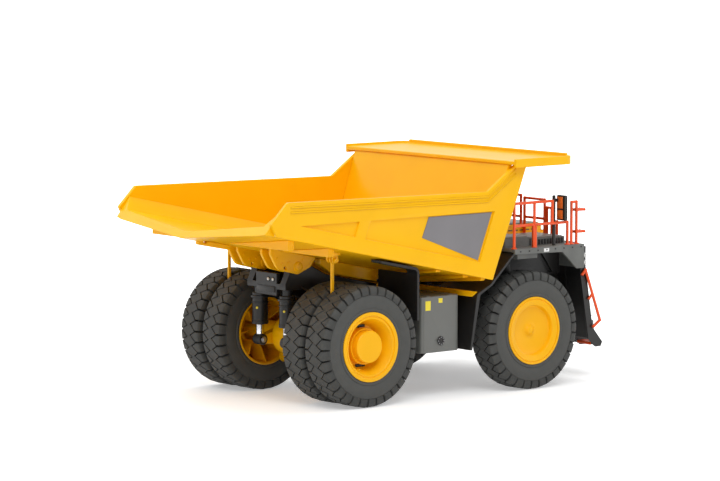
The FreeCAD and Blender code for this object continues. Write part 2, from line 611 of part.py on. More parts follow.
def rear_axle():
    """Banjo housing, tubes and spindles, the arms to the struts and the nose to the frame."""
    body = new_body("rear_axle")
    spindle, tube = cell("spindle_radius"), cell("axle_tube_radius")
    half, middle = cell("housing_half"), cell("axle_tube_start")
    wheel_half = cell("dual_gap") / 2 + cell("tyre_width")
    tip = (cell("rear_track_half") + wheel_half - cell("hub_inset") - cell("hub_cap")
           - cell("spindle_gap"))
    tube_end = cell("rear_track_half") - wheel_half - cell("axle_tube_gap")
    radius = cell("housing_radius")
    turn(body, [(-tip, 0), (tip, 0), (tip, spindle), (tube_end, spindle), (tube_end, tube),
                (middle, tube), (half, radius), (-half, radius), (-middle, tube),
                (-tube_end, tube), (-tube_end, spindle), (-tip, spindle)])
    nose, low = cell("nose_half"), cell("nose_low")
    box(body, (tube, -nose, -low), (cell("nose_front"), nose, nose))
    eye, arm = cell("strut_eye_z") - AXLE_Z, cell("arm_half")
    for side in SIDES.values():
        bar(body, "XZ", [(0, -nose), (0, nose), (cell("strut_x") + arm, eye + arm),
                         (-cell("arm_tip"), eye + arm, arm / 2),
                         (-cell("arm_tip"), eye - arm, arm / 2)],
            (cell("strut_y") - arm) * side, (cell("strut_y") + arm) * side)
    place(body, REAR_X, 0, AXLE_Z)
    return body


def rear_struts():
    """Pair of suspension cylinders between the frame's collar and the axle's arms."""
    body = new_body("rear_struts")
    top = cell("strut_high")
    for side in SIDES.values():
        centre = (ahead("strut_x"), cell("strut_y") * side)
        bar(body, "XY", (centre, cell("strut_barrel")), cell("strut_low"), top)
        bar(body, "XY", (centre, cell("strut_neck")), top - MARGIN, cell("collar_low"))
        bar(body, "XY", (centre, cell("strut_rod")), cell("strut_eye_z") + cell("arm_half"),
            cell("strut_low") + MARGIN)
    return body


def front_axle():
    """Front cross beam with the two kingpin struts."""
    body = new_body("front_axle")
    reach, radius, half = cell("kingpin_y"), cell("king_strut"), cell("beam_half")
    low = cell("king_strut_low")
    for side in SIDES.values():
        bar(body, "XY", ((FRONT_X, reach * side), radius), low, cell("king_strut_top"))
        box(body, (FRONT_X - half, RAIL_OUT * side, cell("beam_low")),
            (FRONT_X + half, reach * side, cell("beam_high")))
        cut(body, "XY", ((FRONT_X, reach * side), cell("kingpin_radius") + cell("running_gap")),
            low, low + cell("king_bore"))
    return body


def knuckle(name, side):
    """Steering knuckle: kingpin, spindle and steering arm."""
    body = new_body(f"knuckle_{name}")
    y, arm, edge = cell("kingpin_y"), cell("steer_arm"), cell("arm_edge")
    low, strut_low = AXLE_Z - cell("knuckle_low"), cell("king_strut_low")
    bar(body, "XY", ((FRONT_X, y * side), cell("king_strut")), low,
        strut_low - cell("knuckle_gap"))
    bar(body, "XY", ((FRONT_X, y * side), cell("kingpin_radius")), low,
        strut_low + cell("kingpin_reach"))
    tip = (cell("front_track_half") + cell("tyre_width") / 2 - cell("disc_inset")
           - cell("disc_wall") - cell("spindle_gap"))
    bar(body, "XZ", ((FRONT_X, AXLE_Z), cell("spindle_radius")), y * side, tip * side)
    box(body, (FRONT_X - arm - edge, (y - edge) * side, low),
        (FRONT_X, (y + edge) * side, low + cell("arm_depth")))
    bar(body, "XY", ((FRONT_X - arm, y * side), cell("arm_pin")), low - cell("arm_pin_drop"),
        low)
    return body


def tie_rod():
    """Bar across the model whose slots take the two steering arms' pins."""
    body = new_body("tie_rod")
    y, x = cell("kingpin_y"), FRONT_X - cell("steer_arm")
    arm_low = AXLE_Z - cell("knuckle_low")
    low, high = arm_low - cell("rod_low"), arm_low - cell("rod_high")
    slot, reach = cell("rod_slot"), y + cell("rod_end")
    box(body, (x - cell("rod_rear"), -reach, low), (x + cell("rod_front"), reach, high))
    for side in SIDES.values():
        cut(body, "XY", rectangle((x - slot, y * side - slot),
                                  (x + cell("rod_slot_front"), y * side + slot)), low, high)
    return body


# ---------------------------------------------------------------- bed
def bed_floor():
    """V floor that runs down forward, with a thick chine along each side."""
    body = new_body("bed_floor")
    half, wide, rise = BED_INNER, FLOOR_HALF, cell("floor_rise")
    top, low, wall = cell("chine_rise"), cell("bolster_low"), cell("floor_wall")
    beam = cell("tail_beam")
    start = cell("tail_x") - cell("tail_beam_reach")
    sheared(body, [(-half, top), (-half, low), (-wide, low), (0, -wall), (wide, low),
                   (half, low), (half, top), (wide, rise), (0, 0), (-wide, rise)],
            start, cell("bed_front_x") - start + MARGIN * 8)
    sheared(body, [(-half, low + MARGIN), (-half, low), (-wide, low - beam),
                   (0, -wall - beam), (wide, low - beam), (half, low), (half, low + MARGIN),
                   (wide, low + MARGIN), (0, MARGIN - wall), (-wide, low + MARGIN)],
            start, cell("tail_beam_reach") * 2)
    tail, level, lean = ahead("tail_x"), floor_height("tail_x"), cell("tail_lean")
    cut(body, "XZ", [(tail - lean * FAR, level - FAR), (tail + lean * FAR * 2, level + FAR * 2),
                     (tail - FAR * 2, level + FAR * 2), (tail - FAR * 2, level - FAR)],
        -half - MARGIN, half + MARGIN)
    low_z, high_z = cell("bed_front_z") - FAR, cell("rail_top_z")
    cut(body, "XZ", [(headboard_line(low_z), low_z), (front_line(high_z) + FAR, low_z),
                     (front_line(high_z) + FAR, high_z), (headboard_line(high_z), high_z)],
        -half - MARGIN, half + MARGIN)
    return body


def side_outline():
    """Outline of the bed's side, from the rail's rear top round by the tail."""
    foot, low = cell("tail_foot_x"), cell("bolster_low")
    post_top = cell("post_top_z")
    return [(ahead("tail_top_x"), cell("rail_top_z")),
            (ahead("tail_corner_x"), cell("tail_corner_z")),
            (ahead(foot), floor_height(foot, low)),
            (ahead("bed_front_x"), floor_height("bed_front_x", low)),
            (front_line(post_top), post_top), (ahead("post_top_x"), post_top),
            (ahead("post_kink_x"), cell("post_kink_z"))]


def relief_corners(along):
    """Corners down a leaning edge of a side's relief, from its top to its sloping foot."""
    slope, lean, top = cell("bed_slope"), cell("bed_front_lean"), cell("relief_top_z")
    base = cell("bed_centre_z") + cell("bolster_rise")
    foot = (along - lean * (top - base)) / (lean * slope + 1)
    return (ahead(along), top), (ahead(foot), base - slope * foot)


def bed_side(name, side):
    """One side wall of the bed: rail, beads, rib and the recesses between them."""
    body = new_body(f"bed_side_{name}")
    outer = cell("bed_half_width")
    face = (outer - cell("relief_depth")) * side
    bar(body, "XZ", side_outline(), BED_INNER * side, outer * side)
    top = cell("relief_top_z")
    tip = (cell("bed_centre_z") + cell("bolster_rise") - top) / cell("bed_slope")
    rear, rear_foot = relief_corners(cell("rib_rear_x"))
    cut(body, "XZ", [(ahead(tip), top), rear_foot, rear], face, (outer + MARGIN) * side)
    middle, middle_foot = relief_corners(cell("rib_front_x"))
    front, front_foot = relief_corners(cell("relief_front_x"))
    cut(body, "XZ", [middle, middle_foot, front_foot, front], face, (outer + MARGIN) * side)
    half = cell("bead_width") / 2
    for drop in (cell("bead_first"), cell("bead_second")):
        line = [(ahead("bead_rear_x"), cell("rail_top_z") - drop),
                (ahead("post_kink_x"), cell("post_kink_z") - drop),
                (ahead("post_top_x"), cell("post_top_z") - drop)]
        bar(body, "XZ", [(along, up - half) for along, up in line]
            + [(along, up + half) for along, up in reversed(line)],
            outer * side, (outer + cell("bead_proud")) * side)
    return body


def bed_headboard():
    """Leaning front wall of the bed."""
    body = new_body("bed_headboard")
    half = BED_INNER
    low, high, wall = cell("headboard_low_z"), canopy_underside(), cell("headboard_wall")
    foot, head = headboard_line(low), headboard_line(high)
    bar(body, "XZ", [(foot, low), (foot + wall, low), (head + wall, high), (head, high)],
        -half, half)
    base, reach = floor_height("bed_front_x", -cell("floor_wall")), half + MARGIN
    edge = floor_height("bed_front_x", cell("bolster_low"))
    cut(body, "YZ", [(-reach, low - MARGIN), (reach, low - MARGIN), (reach, edge), (0, base),
                     (-reach, edge)],
        ahead("bed_front_x") - FAR * 2, ahead("bed_front_x") + FAR * 2)
    return body


def bed_canopy():
    """Plate over the cab inside a rim round its sides and front, the front one standing up."""
    body = new_body("bed_canopy")
    half, top, corner = cell("canopy_half_width"), cell("canopy_top_z"), cell("canopy_corner")
    rear, front = ahead("canopy_rear_x"), ahead("canopy_front_x")
    low, wall = top - cell("canopy_lip"), cell("canopy_lip_wall")
    bar(body, "XY", [(rear, -half), (front, -half, corner), (front, half, corner), (rear, half)],
        low, top)
    bar(body, "XY", rectangle((front - wall, corner - half), (front, half - corner)),
        top - wall, top + cell("canopy_front_rise"))
    inner, back = corner - wall, rear - MARGIN
    hollow = [(back, wall - half), (front - wall, wall - half, inner),
              (front - wall, half - wall, inner), (back, half - wall)]
    cut(body, "XY", hollow, low, canopy_underside())
    cut(body, "XY", hollow, canopy_underside() + cell("canopy_plate"), top + MARGIN)
    return body


def canopy_underside():
    """Height of the canopy plate's lower face, which the headboard meets."""
    return cell("canopy_top_z") - cell("canopy_sunk") - cell("canopy_plate")


def bed_beams():
    """What hangs below the bed's floor: beams, ribs, the front bar and the pivot's plates."""
    body = new_body("bed_beams")
    rear, front, depth = cell("beam_rear_x"), cell("beam_front_x"), cell("beam_depth") + MARGIN
    start, width = cell("tail_x"), cell("floor_rib")
    half = cell("floor_rib_half")
    for side in SIDES.values():
        bar(body, "XZ", [(ahead(rear), floor_height(rear, MARGIN)),
                         (ahead(rear), floor_height(rear, -cell("floor_wall") - MARGIN)),
                         (ahead(rear + depth), floor_height(rear + depth, -depth)),
                         (ahead(front), floor_height(front, -depth)),
                         (ahead(front), floor_height(front, MARGIN))],
            RAIL_IN * side, RAIL_OUT * side)
        pivot_plates(body, side)
    for name in ("mid", "front"):
        along, top = cell(f"bolster_{name}_x"), cell("relief_top_z")
        low = floor_height(along, -cell("floor_wall") - cell("bolster_depth"))
        rise = low + cell("floor_rise")
        bar(body, "YZ", [(-half, rise), (size(0), low), (half, rise), (half, top), (-half, top)],
            ahead(along), ahead(along) + width)
    reach, low = cell("rest_bar_half"), cell("rest_bar_low")
    high, slant = low + cell("rest_bar_height"), cell("rest_bar_slant")
    bar(body, "YZ", [(slant - reach, low), (reach - slant, low), (reach, high), (-reach, high)],
        ahead(front) - cell("rest_bar_wall"), ahead(front))
    for name in ("tail", "mid"):
        along, low = ahead(f"rib_{name}_x"), cell(f"rib_{name}_z")
        box(body, (along, -half, low), (along + width, half, cell("rail_top_z")))
    keel = cell("keel_half")
    bar(body, "XZ", [(ahead("keel_rear_x"), cell("keel_rear_z")),
                     (ahead("keel_front_x"), cell("keel_front_z")),
                     (ahead("keel_front_x"), cell("relief_top_z")),
                     (ahead("keel_rear_x"), cell("relief_top_z"))], -keel, keel)
    trim_to_floor(body, start, cell("bed_front_x") - start + FAR)
    cut(body, "XZ", ((ahead("keel_hole_x"), cell("keel_hole_z")), cell("keel_hole")),
        -keel - MARGIN, keel + MARGIN)
    return body


def pivot_plates(body, side):
    """Two plates either side of a frame ear, the bed's pivot pin and the hoist's head pin."""
    px, pz = PIVOT
    plate, gap, boss = cell("bracket_plate"), cell("side_gap"), cell("pivot_boss")
    round_edge, top = cell("bracket_round"), cell("rail_top_z")
    for low in (RAIL_IN - gap - plate, RAIL_OUT + gap):
        bar(body, "XZ", [(px - cell("bracket_rear"), top),
                         (px - cell("bracket_rear"), pz + cell("bracket_heel_rise")),
                         (px - cell("bracket_heel"), pz - cell("bracket_drop"),
                          cell("bracket_heel_round")),
                         (px, pz - boss, round_edge),
                         (px + cell("bracket_toe"), pz - cell("bracket_drop"), round_edge),
                         (px + cell("bracket_front"), pz + boss), (px + cell("bracket_front"), top)],
            low * side, (low + plate) * side)
    inner, outer = (RAIL_IN - gap - plate) * side, (RAIL_OUT + gap + plate) * side
    cut(body, "XZ", ((px - cell("bracket_hole_x"), pz), cell("bracket_hole")), inner, outer)
    bar(body, "XZ", (PIVOT, cell("pivot_radius")), inner, outer)
    bar(body, "XZ", ((ahead("hoist_head_x"), cell("hoist_head_z")), cell("head_pin")),
        RAIL_OUT * side, (cell("hoist_y") + cell("head_pin_reach")) * side)


def bed_panels():
    """Flat grey panel let into each side of the bed ahead of the wheels."""
    body = new_body("bed_side_panels")
    face = cell("bed_half_width") - cell("relief_depth")
    rear, front, top = cell("panel_rear_x"), cell("panel_front_x"), cell("relief_top_z")
    top = top - cell("panel_gap")
    for side in SIDES.values():
        bar(body, "XZ", [(ahead(rear), top),
                         (ahead(rear - cell("panel_rear_lean")), top - cell("panel_rear_drop")),
                         (ahead(front - cell("panel_front_lean")),
                          top - cell("panel_front_drop")),
                         (ahead(front), top)],
            (face + cell("panel_sheet")) * side, face * side)
    return body


def rock_ejectors():
    """Bars between the twin tyres, hung by their eyes from ears under the bed."""
    body = new_body("rock_ejectors")
    y, x, half = cell("rear_track_half"), ahead("ejector_x"), cell("ejector_half")
    eye_z, eye, ear = cell("ejector_eye_z"), cell("ejector_eye"), cell("ejector_ear")
    plate, pin = cell("ejector_plate"), cell("ejector_pin")
    high = eye_z + eye + cell("ejector_lap")
    for side in SIDES.values():
        box(body, (x - half, (y - half) * side, cell("ejector_low")),
            (x + half, (y + half) * side, eye_z))
        bar(body, "XZ", ((x, eye_z), eye), (y - half) * side, (y + half) * side)
        for low in (y - plate, y + plate - ear):
            bar(body, "XZ", ((x, eye_z), eye), low * side, (low + ear) * side)
            box(body, (x - eye, low * side, eye_z), (x + eye, (low + ear) * side, high + MARGIN))
        bar(body, "XZ", ((x, eye_z), pin), (y - plate - ear / 2) * side,
            (y + plate + ear / 2) * side)
        box(body, (x - plate, (y - plate - ear) * side, high),
            (x + plate, (y + plate + ear) * side, cell("relief_top_z")))
    trim_to_floor(body, cell("ejector_x") - FAR, cell("ejector_x") + FAR * 3)
    return body


# ---------------------------------------------------------------- round bars
def stick(label, start, end, radius, y):
    """Round bar between two places of the XZ plane at a distance to the side."""
    run = size(end[0]) - start[0], size(end[1]) - start[1]
    item = doc.addObject("Part::Cylinder", label)
    bind(item, "Radius", radius)
    item.setExpression("Height", f"sqrt({run[0].text}^2 + {run[1].text}^2)")
    place(item, start[0], y, start[1])
    item.Placement.Rotation.Axis = Vector(0, 1, 0)
    item.setExpression(".Placement.Rotation.Angle", f"atan2({run[0].text}; {run[1].text})")
    return item


def cross_bar(label, centre, radius, low, high):
    """Round bar along Y between two distances to the side."""
    low, high = size(low), size(high)
    if low.value > high.value:
        low, high = high, low
    item = doc.addObject("Part::Cylinder", label)
    bind(item, "Radius", radius)
    bind(item, "Height", high - low)
    item.Placement.Rotation.Axis = Vector(1, 0, 0)
    item.setExpression(".Placement.Rotation.Angle", "90")
    place(item, centre[0], high, centre[1])
    return item


def joined(label, pieces, tools=()):
    """Pieces fused into one, less any tools."""
    item = doc.addObject("Part::MultiFuse", f"{label}_joined")
    item.Shapes = pieces
    for tool in tools:
        less = doc.addObject("Part::Cut", f"{label}_cut")
        less.Base, less.Tool = item, tool
        item = less
    item.Label = label
    return item


def mirrored(item):
    """The other side's copy of a piece."""
    copy = doc.addObject("Part::Mirroring", f"{item.Label}_mirrored")
    copy.Source = item
    copy.Normal = Vector(0, 1, 0)
    return copy


def hoist_line(share):
    """Place on the hoist's axis, a share of the way from its foot pin to its head pin."""
    along = cell("hoist_head_x") - cell("hoist_foot_x")
    up = cell("hoist_head_z") - cell("hoist_foot_z")
    return ahead(cell("hoist_foot_x") + along * share), cell("hoist_foot_z") + up * share


def hoist(name, side):
    """Hoist cylinder: a barrel on the frame's foot pin and a rod to the bed's pin."""
    y, half, gap = cell("hoist_y") * side, cell("hoist_eye_half"), cell("running_gap")
    radius, rod_radius = cell("hoist_radius"), cell("hoist_rod_radius")
    foot, head = hoist_line(0), hoist_line(1)
    barrel = [stick("barrel_tube", hoist_line(cell("barrel_start")),
                    hoist_line(cell("barrel_end")), radius, y),
              cross_bar("barrel_eye", foot, cell("hoist_eye"), y - half, y + half)]
    tools = [stick("barrel_bore", hoist_line(cell("bore_start")), head, rod_radius + gap, y),
             cross_bar("barrel_eye_bore", foot, cell("pivot_radius") + gap,
                       y - half - MARGIN, y + half + MARGIN)]
    rod_half = cell("rod_eye_half")
    rod = [stick("rod_bar", hoist_line(cell("rod_start")), hoist_line(cell("rod_stop")),
                 rod_radius, y),
           cross_bar("rod_eye", head, cell("rod_eye"), y - rod_half, y + rod_half)]
    rod_tools = [cross_bar("rod_eye_bore", head, cell("rod_eye_bore"), y - half - MARGIN,
                           y + half + MARGIN)]
    return [joined(f"hoist_barrel_{name}", barrel, tools),
            joined(f"hoist_rod_{name}", rod, rod_tools)]


def tube_line(points, y):
    """Tube of the rails' thickness through places of the XZ plane, a ball at each bend."""
    pieces = [stick("tube", start, end, cell("tube"), y)
              for start, end in zip(points, points[1:])]
    return pieces + [ball(point[0], y, point[1]) for point in points[1:-1]]


def ball(along, across, up):
    item = doc.addObject("Part::Sphere", "bend")
    bind(item, "Radius", cell("tube") + cell("running_gap"))
    place(item, along, across, up)
    return item


def side_rails():
    """Rails down the deck's right edge, with their posts."""
    y, foot = -cell("side_rail_y"), cell("deck_z")
    rear, high, mid = ahead("side_rail_rear_x"), cell("side_rail_high"), cell("side_rail_mid")
    pieces = tube_line([(rear, foot), (rear, high), (ahead("side_rail_front_x"), high),
                        (ahead("side_rail_front_x"), mid)], y)
    pieces += tube_line([(rear, mid), (ahead("mid_rail_front_x"), mid),
                         (ahead("mid_rail_front_x"), foot)], y)
    post = ahead("post_x")
    return pieces + [stick("post", (post, mid), (post, high), cell("tube"), y),
                     stick("post_foot", (post, foot), (post, mid), cell("post_radius"), y)]


def stair_hoops():
    """Pair of hoops at the head of the right stair, and the stair's own handrail."""
    y, foot = -cell("side_rail_y"), cell("deck_z")
    rear, front, high = ahead("hoop_rear_x"), ahead("hoop_front_x"), cell("hoop_high")
    pieces = tube_line([(rear, foot), (rear, high), (front, high), (front, foot)], y)
    inset, thin = -cell("hoop_bar_inset"), cell("rail_bar")
    for level in (cell("hoop_bar_high"), cell("hoop_bar_low")):
        reach = ahead("hoop_reach_x")
        pieces += [stick("hoop_bar", (front, level), (reach, level), thin, y),
                   ball(reach, y, level), ball(reach, y - inset, level),
                   cross_bar("hoop_end", (reach, level), thin, y - inset, y),
                   stick("hoop_bar", (front, level), (reach, level), thin, y - inset),
                   ball(front, y - inset, level),
                   cross_bar("hoop_root", (front, level), thin, y - inset, y)]
    knee = (ahead("stair_rail_knee_x"), cell("stair_rail_knee_z"))
    run, stay = cell("stay_run"), (ahead("stay_x"), cell("stay_z"))
    return pieces + tube_line([(ahead("stair_rail_top_x") - run, cell("stair_rail_top_z") - run),
                               (ahead("stair_rail_top_x"), cell("stair_rail_top_z")), knee,
                               (ahead("stair_rail_foot_x") - MARGIN, cell("stair_rail_foot_z"))],
                              y) + [
        stick("stay", (stay[0] - run, stay[1] - run), stay, thin, y)]


def gate(outer, inner, high, low=None, foot=cell("deck_z")):
    """Hoop across the deck's front, with a cross bar where it has one."""
    x = ahead("gate_x")
    upright = [stick("gate_post", (x, foot), (x, high), cell("tube"), y) for y in (outer, inner)]
    bars = [cross_bar("gate_bar", (x, level), cell("rail_bar"), outer, inner)
            for level in (high, low) if level is not None]
    return upright + bars + [ball(x, y, high) for y in (outer, inner)]


def handrails():
    """All the deck's rails, as bent tube."""
    hoops = joined("right_stair_hoops", stair_hoops())
    pieces = side_rails() + [hoops, mirrored(hoops)]
    high, low = cell("gate_high"), cell("gate_bar")
    pieces += gate(-cell("gate_outer_y"), -cell("gate_inner_y"), high, low)
    pieces += gate(-cell("far_gate_outer_y"), -cell("far_gate_inner_y"), high + MARGIN, low,
                   cell("hood_cover_z"))
    pieces += gate(-cell("small_hoop_outer_y"), -cell("small_hoop_inner_y"),
                   cell("small_hoop_high"))
    x, y = ahead("gate_x"), -cell("lone_post_y")
    pieces.append(stick("lone_post", (x, cell("deck_z")), (x, low), cell("tube"), y))
    return joined("handrails", pieces)


def mirrors():
    """Mirror on an arm at each side of the deck."""
    body = new_body("mirrors")
    wall, arm, corner = cell("mirror_wall"), cell("mirror_arm_radius"), cell("mirror_corner")
    low, high = cell("mirror_low"), cell("mirror_high")
    level = high - arm * 3
    for side, along, gap in ((-1, ahead("mirror_arm_x"), cell("mirror_gap")),
                             (1, ahead("left_mirror_arm_x"), cell("left_mirror_gap"))):
        across, edge = cell("mirror_arm_y") * side, cell("side_rail_y") * side
        inner, outer = edge - cell("mirror_inner"), edge + cell("mirror_outer")
        bar(body, "XY", ((along, across), arm), cell("deck_z"), high)
        bar(body, "XZ", rectangle((along + gap, low), (along + gap + wall, high), corner),
            inner, outer)
        box(body, (along, across - arm / 2, level - arm), (along + gap + wall / 2,
                                                           across + arm / 2, level + arm))
    return body


# ---------------------------------------------------------------- deck, cab and front
def tank(label, side):
    """Box tank on its two brackets beside the frame, with its filler cap."""
    body = new_body(label)
    inner, outer = cell("tank_inner_y"), cell("tank_outer_y")
    rear, front = ahead("tank_rear_x"), ahead("tank_front_x")
    low, high, width = cell("tank_low"), cell("tank_high"), cell("tank_bracket")
    box(body, (rear, inner * side, low), (front, outer * side, high), cell("tank_corner"))
    for along in (rear + width, front - width * 2):
        box(body, (along, RAIL_OUT * side, low + cell("tank_bracket_low")),
            (along + width, (inner + MARGIN) * side, low + cell("tank_bracket_high")))
    bar(body, "XZ", ((ahead("cap_x"), cell("cap_z")), cell("cap_radius")),
        (outer - MARGIN) * side, (outer + cell("cap_proud")) * side)
    return body


def engine():
    """Engine block on the rails, the gearbox between them and its shaft to the rear axle."""
    body = new_body("engine_block")
    top, half = rail_top("rail_level_x"), cell("gearbox_half")
    box(body, (ahead("engine_rear_x"), -RAIL_OUT, top),
        (ahead("engine_front_x"), RAIL_OUT, top + cell("engine_height")))
    box(body, (ahead("gearbox_rear_x"), -half, cell("gearbox_low")),
        (ahead("gearbox_front_x"), half, top + MARGIN))
    bar(body, "YZ", ((size(0), cell("shaft_z")), cell("shaft_radius")),
        ahead("nose_front") + cell("spindle_gap"), ahead("gearbox_rear_x") + MARGIN)
    return body


def guards_rear():
    """Sheets ahead of the rear wheels, bent back over them under the bed."""
    body = new_body("rear_mudguards")
    wall, guard_x, bend = cell("guard_sheet"), cell("rear_guard_x"), cell("rear_guard_bend")
    gap, clear = -cell("guard_gap"), cell("bolster_low") - cell("guard_gap")
    x, low, back = ahead(guard_x), cell("rear_guard_low"), guard_x - cell("rear_guard_reach")
    high, tail = floor_height(guard_x, clear), floor_height(back, clear)
    inner, outer = cell("guard_inner_y"), cell("guard_outer_y")
    stay, rear = cell("guard_stay"), back - MARGIN
    for side in SIDES.values():
        bar(body, "XZ", [(x, low), (x + wall, low), (x + wall, high, bend),
                         (ahead(back), tail), (ahead(back), tail - wall),
                         (x, high - wall, bend - wall)],
            inner * side, outer * side)
        cut(body, "XZ", [(ahead(rear), floor_height(rear, gap)), (ahead(rear), tail + FAR),
                         (x + bend * 3, tail + FAR),
                         (x + bend * 3, floor_height(guard_x + bend * 3, gap))],
            (inner - MARGIN) * side, cell("guard_step_y") * side)
        near = (cell("tank_inner_y") + stay) * side
        box(body, (x + wall / 2, near, low + MARGIN),
            (ahead("tank_rear_x"), near + cell("guard_stay_width") * side, low + stay + MARGIN))
    return body


def guards_front():
    """Sheets behind the front wheels, bent forward under the deck, and the arch's liner."""
    body = new_body("front_mudguards")
    wall, top = cell("guard_sheet"), cell("deck_z") - cell("deck_plate")
    foot, foot_z = ahead("front_guard_low_x"), cell("front_guard_low_z")
    knee, knee_z = ahead("front_guard_knee_x"), cell("front_guard_knee_z")
    bend, bend_z = ahead("front_guard_bend_x"), cell("front_guard_bend_z")
    head, inner = ahead("front_guard_top_x"), cell("guard_inner_y")
    outer, radius = cell("deck_half_width") - cell("front_guard_inset"), cell("front_guard_round")
    lap = cell("sheet_lap")
    for side in SIDES.values():
        bar(body, "XZ", [(foot, foot_z), (foot + wall, foot_z),
                         (knee + wall * 2 - lap, knee_z - wall / 2, radius - wall),
                         (bend + wall, bend_z - wall / 2), (head + wall, top), (head, top),
                         (bend, bend_z), (knee, knee_z, radius)],
            inner * side, outer * side)
        box(body, (knee - lap, RAIL_OUT * side, cell("guard_foot_low")),
            (knee + MARGIN, (inner + MARGIN) * side, cell("guard_foot_high")))
        arch_liner(body, side, bend, top)
    return body


def arch_liner(body, side, rear, top):
    """Plate between a front wheel and the engine, with a slanting slot near its front."""
    near = (cell("hood_half_width") + cell("liner_gap")) * side
    far = (cell("guard_inner_y") + cell("liner_gap")) * side
    low, slot = cell("liner_low"), ahead("liner_slot_x")
    lean, width = (top - low) * cell("liner_slot_lean"), cell("liner_slot")
    bar(body, "XZ", [(rear, low), (ahead("liner_front_x"), low), (ahead("liner_front_x"), top),
                     (rear, top)], near, far)
    cut(body, "XZ", [(slot, top - MARGIN), (slot + lean, low + MARGIN),
                     (slot + lean + width, low + MARGIN), (slot + width, top - MARGIN)],
        near, far)


def deck():
    """Walkway over the front wheels with its skirts, and the lockers on and under it."""
    body = new_body("deck")
    half, top, wall = cell("deck_half_width"), cell("deck_z"), cell("deck_wall")
    rear, front = ahead("deck_rear_x"), ahead("deck_front_x")
    low, nose = top - cell("deck_plate"), cell("nose_z")
    for side in SIDES.values():
        box(body, (rear, (cell("hood_half_width") + cell("liner_gap")) * side, low),
            (front, half * side, top))
        bar(body, "XZ", [(rear, low), (rear, cell("skirt_rear_z")),
                         (ahead("nose_bend_x"), cell("skirt_z")),
                         (ahead("nose_rear_x"), nose), (front, nose), (front, low)],
            (half - wall) * side, half * side)
        box(body, (front - wall, (half - cell("nose_width")) * side, nose),
            (front, (half - wall) * side, low))
        box(body, (ahead("under_box_rear_x"), cell("under_box_inner_y") * side,
                   cell("under_box_z")),
            (ahead("locker_split_x"), cell("under_box_outer_y") * side, low))
    inner, outer, gap = -cell("locker_inner_y"), -cell("locker_outer_y"), cell("locker_gap")
    box(body, (ahead("locker_rear_x"), outer, top),
        (ahead("locker_split_x"), inner, cell("locker_rear_z")), gap)
    box(body, (ahead("locker_split_x") + gap, outer, top),
        (ahead("locker_front_x"), inner, cell("locker_front_z")), gap)
    return body


def cab_edges():
    """The cab's rear, front, inner, outer, lower and upper faces."""
    low = cell("deck_z")
    return (ahead("cab_rear_x"), ahead("cab_front_x"), cell("cab_inner_y"),
            cell("cab_outer_y"), low, low + cell("cab_height"))


def cab_shell():
    """Hollow cab: floor, rear wall, front wall and inner wall, with the windows cut."""
    body = new_body("cab_shell")
    rear, front, inner, outer, low, high = cab_edges()
    wall, pillar, post = cell("cab_wall"), cell("cab_pillar"), cell("cab_post")
    sill, head, door = low + cell("cab_sill"), high - cell("cab_head"), cell("door_rear")
    box(body, (rear, inner, low), (front, outer, high))
    cut(body, "XY", rectangle((rear + wall, inner + wall), (front - wall, outer - wall)),
        low + wall, high)
    cut(body, "YZ", rectangle((inner + pillar, sill), (outer - pillar, head)),
        rear - MARGIN, front + MARGIN)
    cut(body, "XZ", rectangle((rear + post, sill), (rear + cell("quarter_end"), head)),
        inner - MARGIN, outer + MARGIN)
    cut(body, "XZ", rectangle((rear + door, low + wall),
                              (front - cell("door_front"), high - cell("door_head"))),
        outer - wall, outer + MARGIN)
    cut(body, "XZ", rectangle((rear + door + MARGIN, sill), (front - post, head)),
        inner - MARGIN, inner + wall)
    return body


def cab_roof():
    """Roof panel on the cab's walls."""
    body = new_body("cab_roof")
    rear, front, inner, outer, low, high = cab_edges()
    edge = cell("roof_edge")
    box(body, (rear - edge, inner - edge, high),
        (front + cell("roof_visor"), outer + edge, high + cell("cab_wall")), cell("roof_visor"))
    return body


def cab_door():
    """Door in the cab's outer wall, with its window cut."""
    body = new_body("cab_door")
    rear, front, inner, outer, low, high = cab_edges()
    wall, gap, door = cell("cab_wall"), cell("door_gap"), cell("door_rear")
    box(body, (rear + door + gap, outer - wall, low + wall + gap),
        (front - cell("door_front") - gap, outer, high - cell("door_head") - gap))
    cut(body, "XZ", door_pane(), outer - wall - MARGIN, outer + MARGIN)
    return body


def door_pane():
    """Outline of the door's window."""
    rear, front, inner, outer, low, high = cab_edges()
    return rectangle((rear + cell("door_rear") + cell("door_frame"), low + cell("door_sill")),
                     (front - cell("door_pane_front"), high - cell("door_pane_top")))


def cab_glass():
    """Window panes set in the cab's openings."""
    body = new_body("cab_glass")
    rear, front, inner, outer, low, high = cab_edges()
    wall, pane, pillar, post = (cell(f"cab_{name}") for name in ("wall", "pane", "pillar", "post"))
    sill, head, door = low + cell("cab_sill"), high - cell("cab_head"), cell("door_rear")
    inset, quarter = (wall - pane) / 2, rear + cell("quarter_end")
    for start in (rear + inset, front - wall + inset):
        box(body, (start, inner + pillar, sill), (start + pane, outer - pillar, head))
    far = outer - wall + inset
    for start, back, fore in ((inner + inset, rear + post, quarter),
                              (inner + inset, rear + door + MARGIN, front - post),
                              (far, rear + post, quarter)):
        box(body, (back, start, sill), (fore, start + pane, head))
    bar(body, "XZ", door_pane(), far, far + pane)
    return body


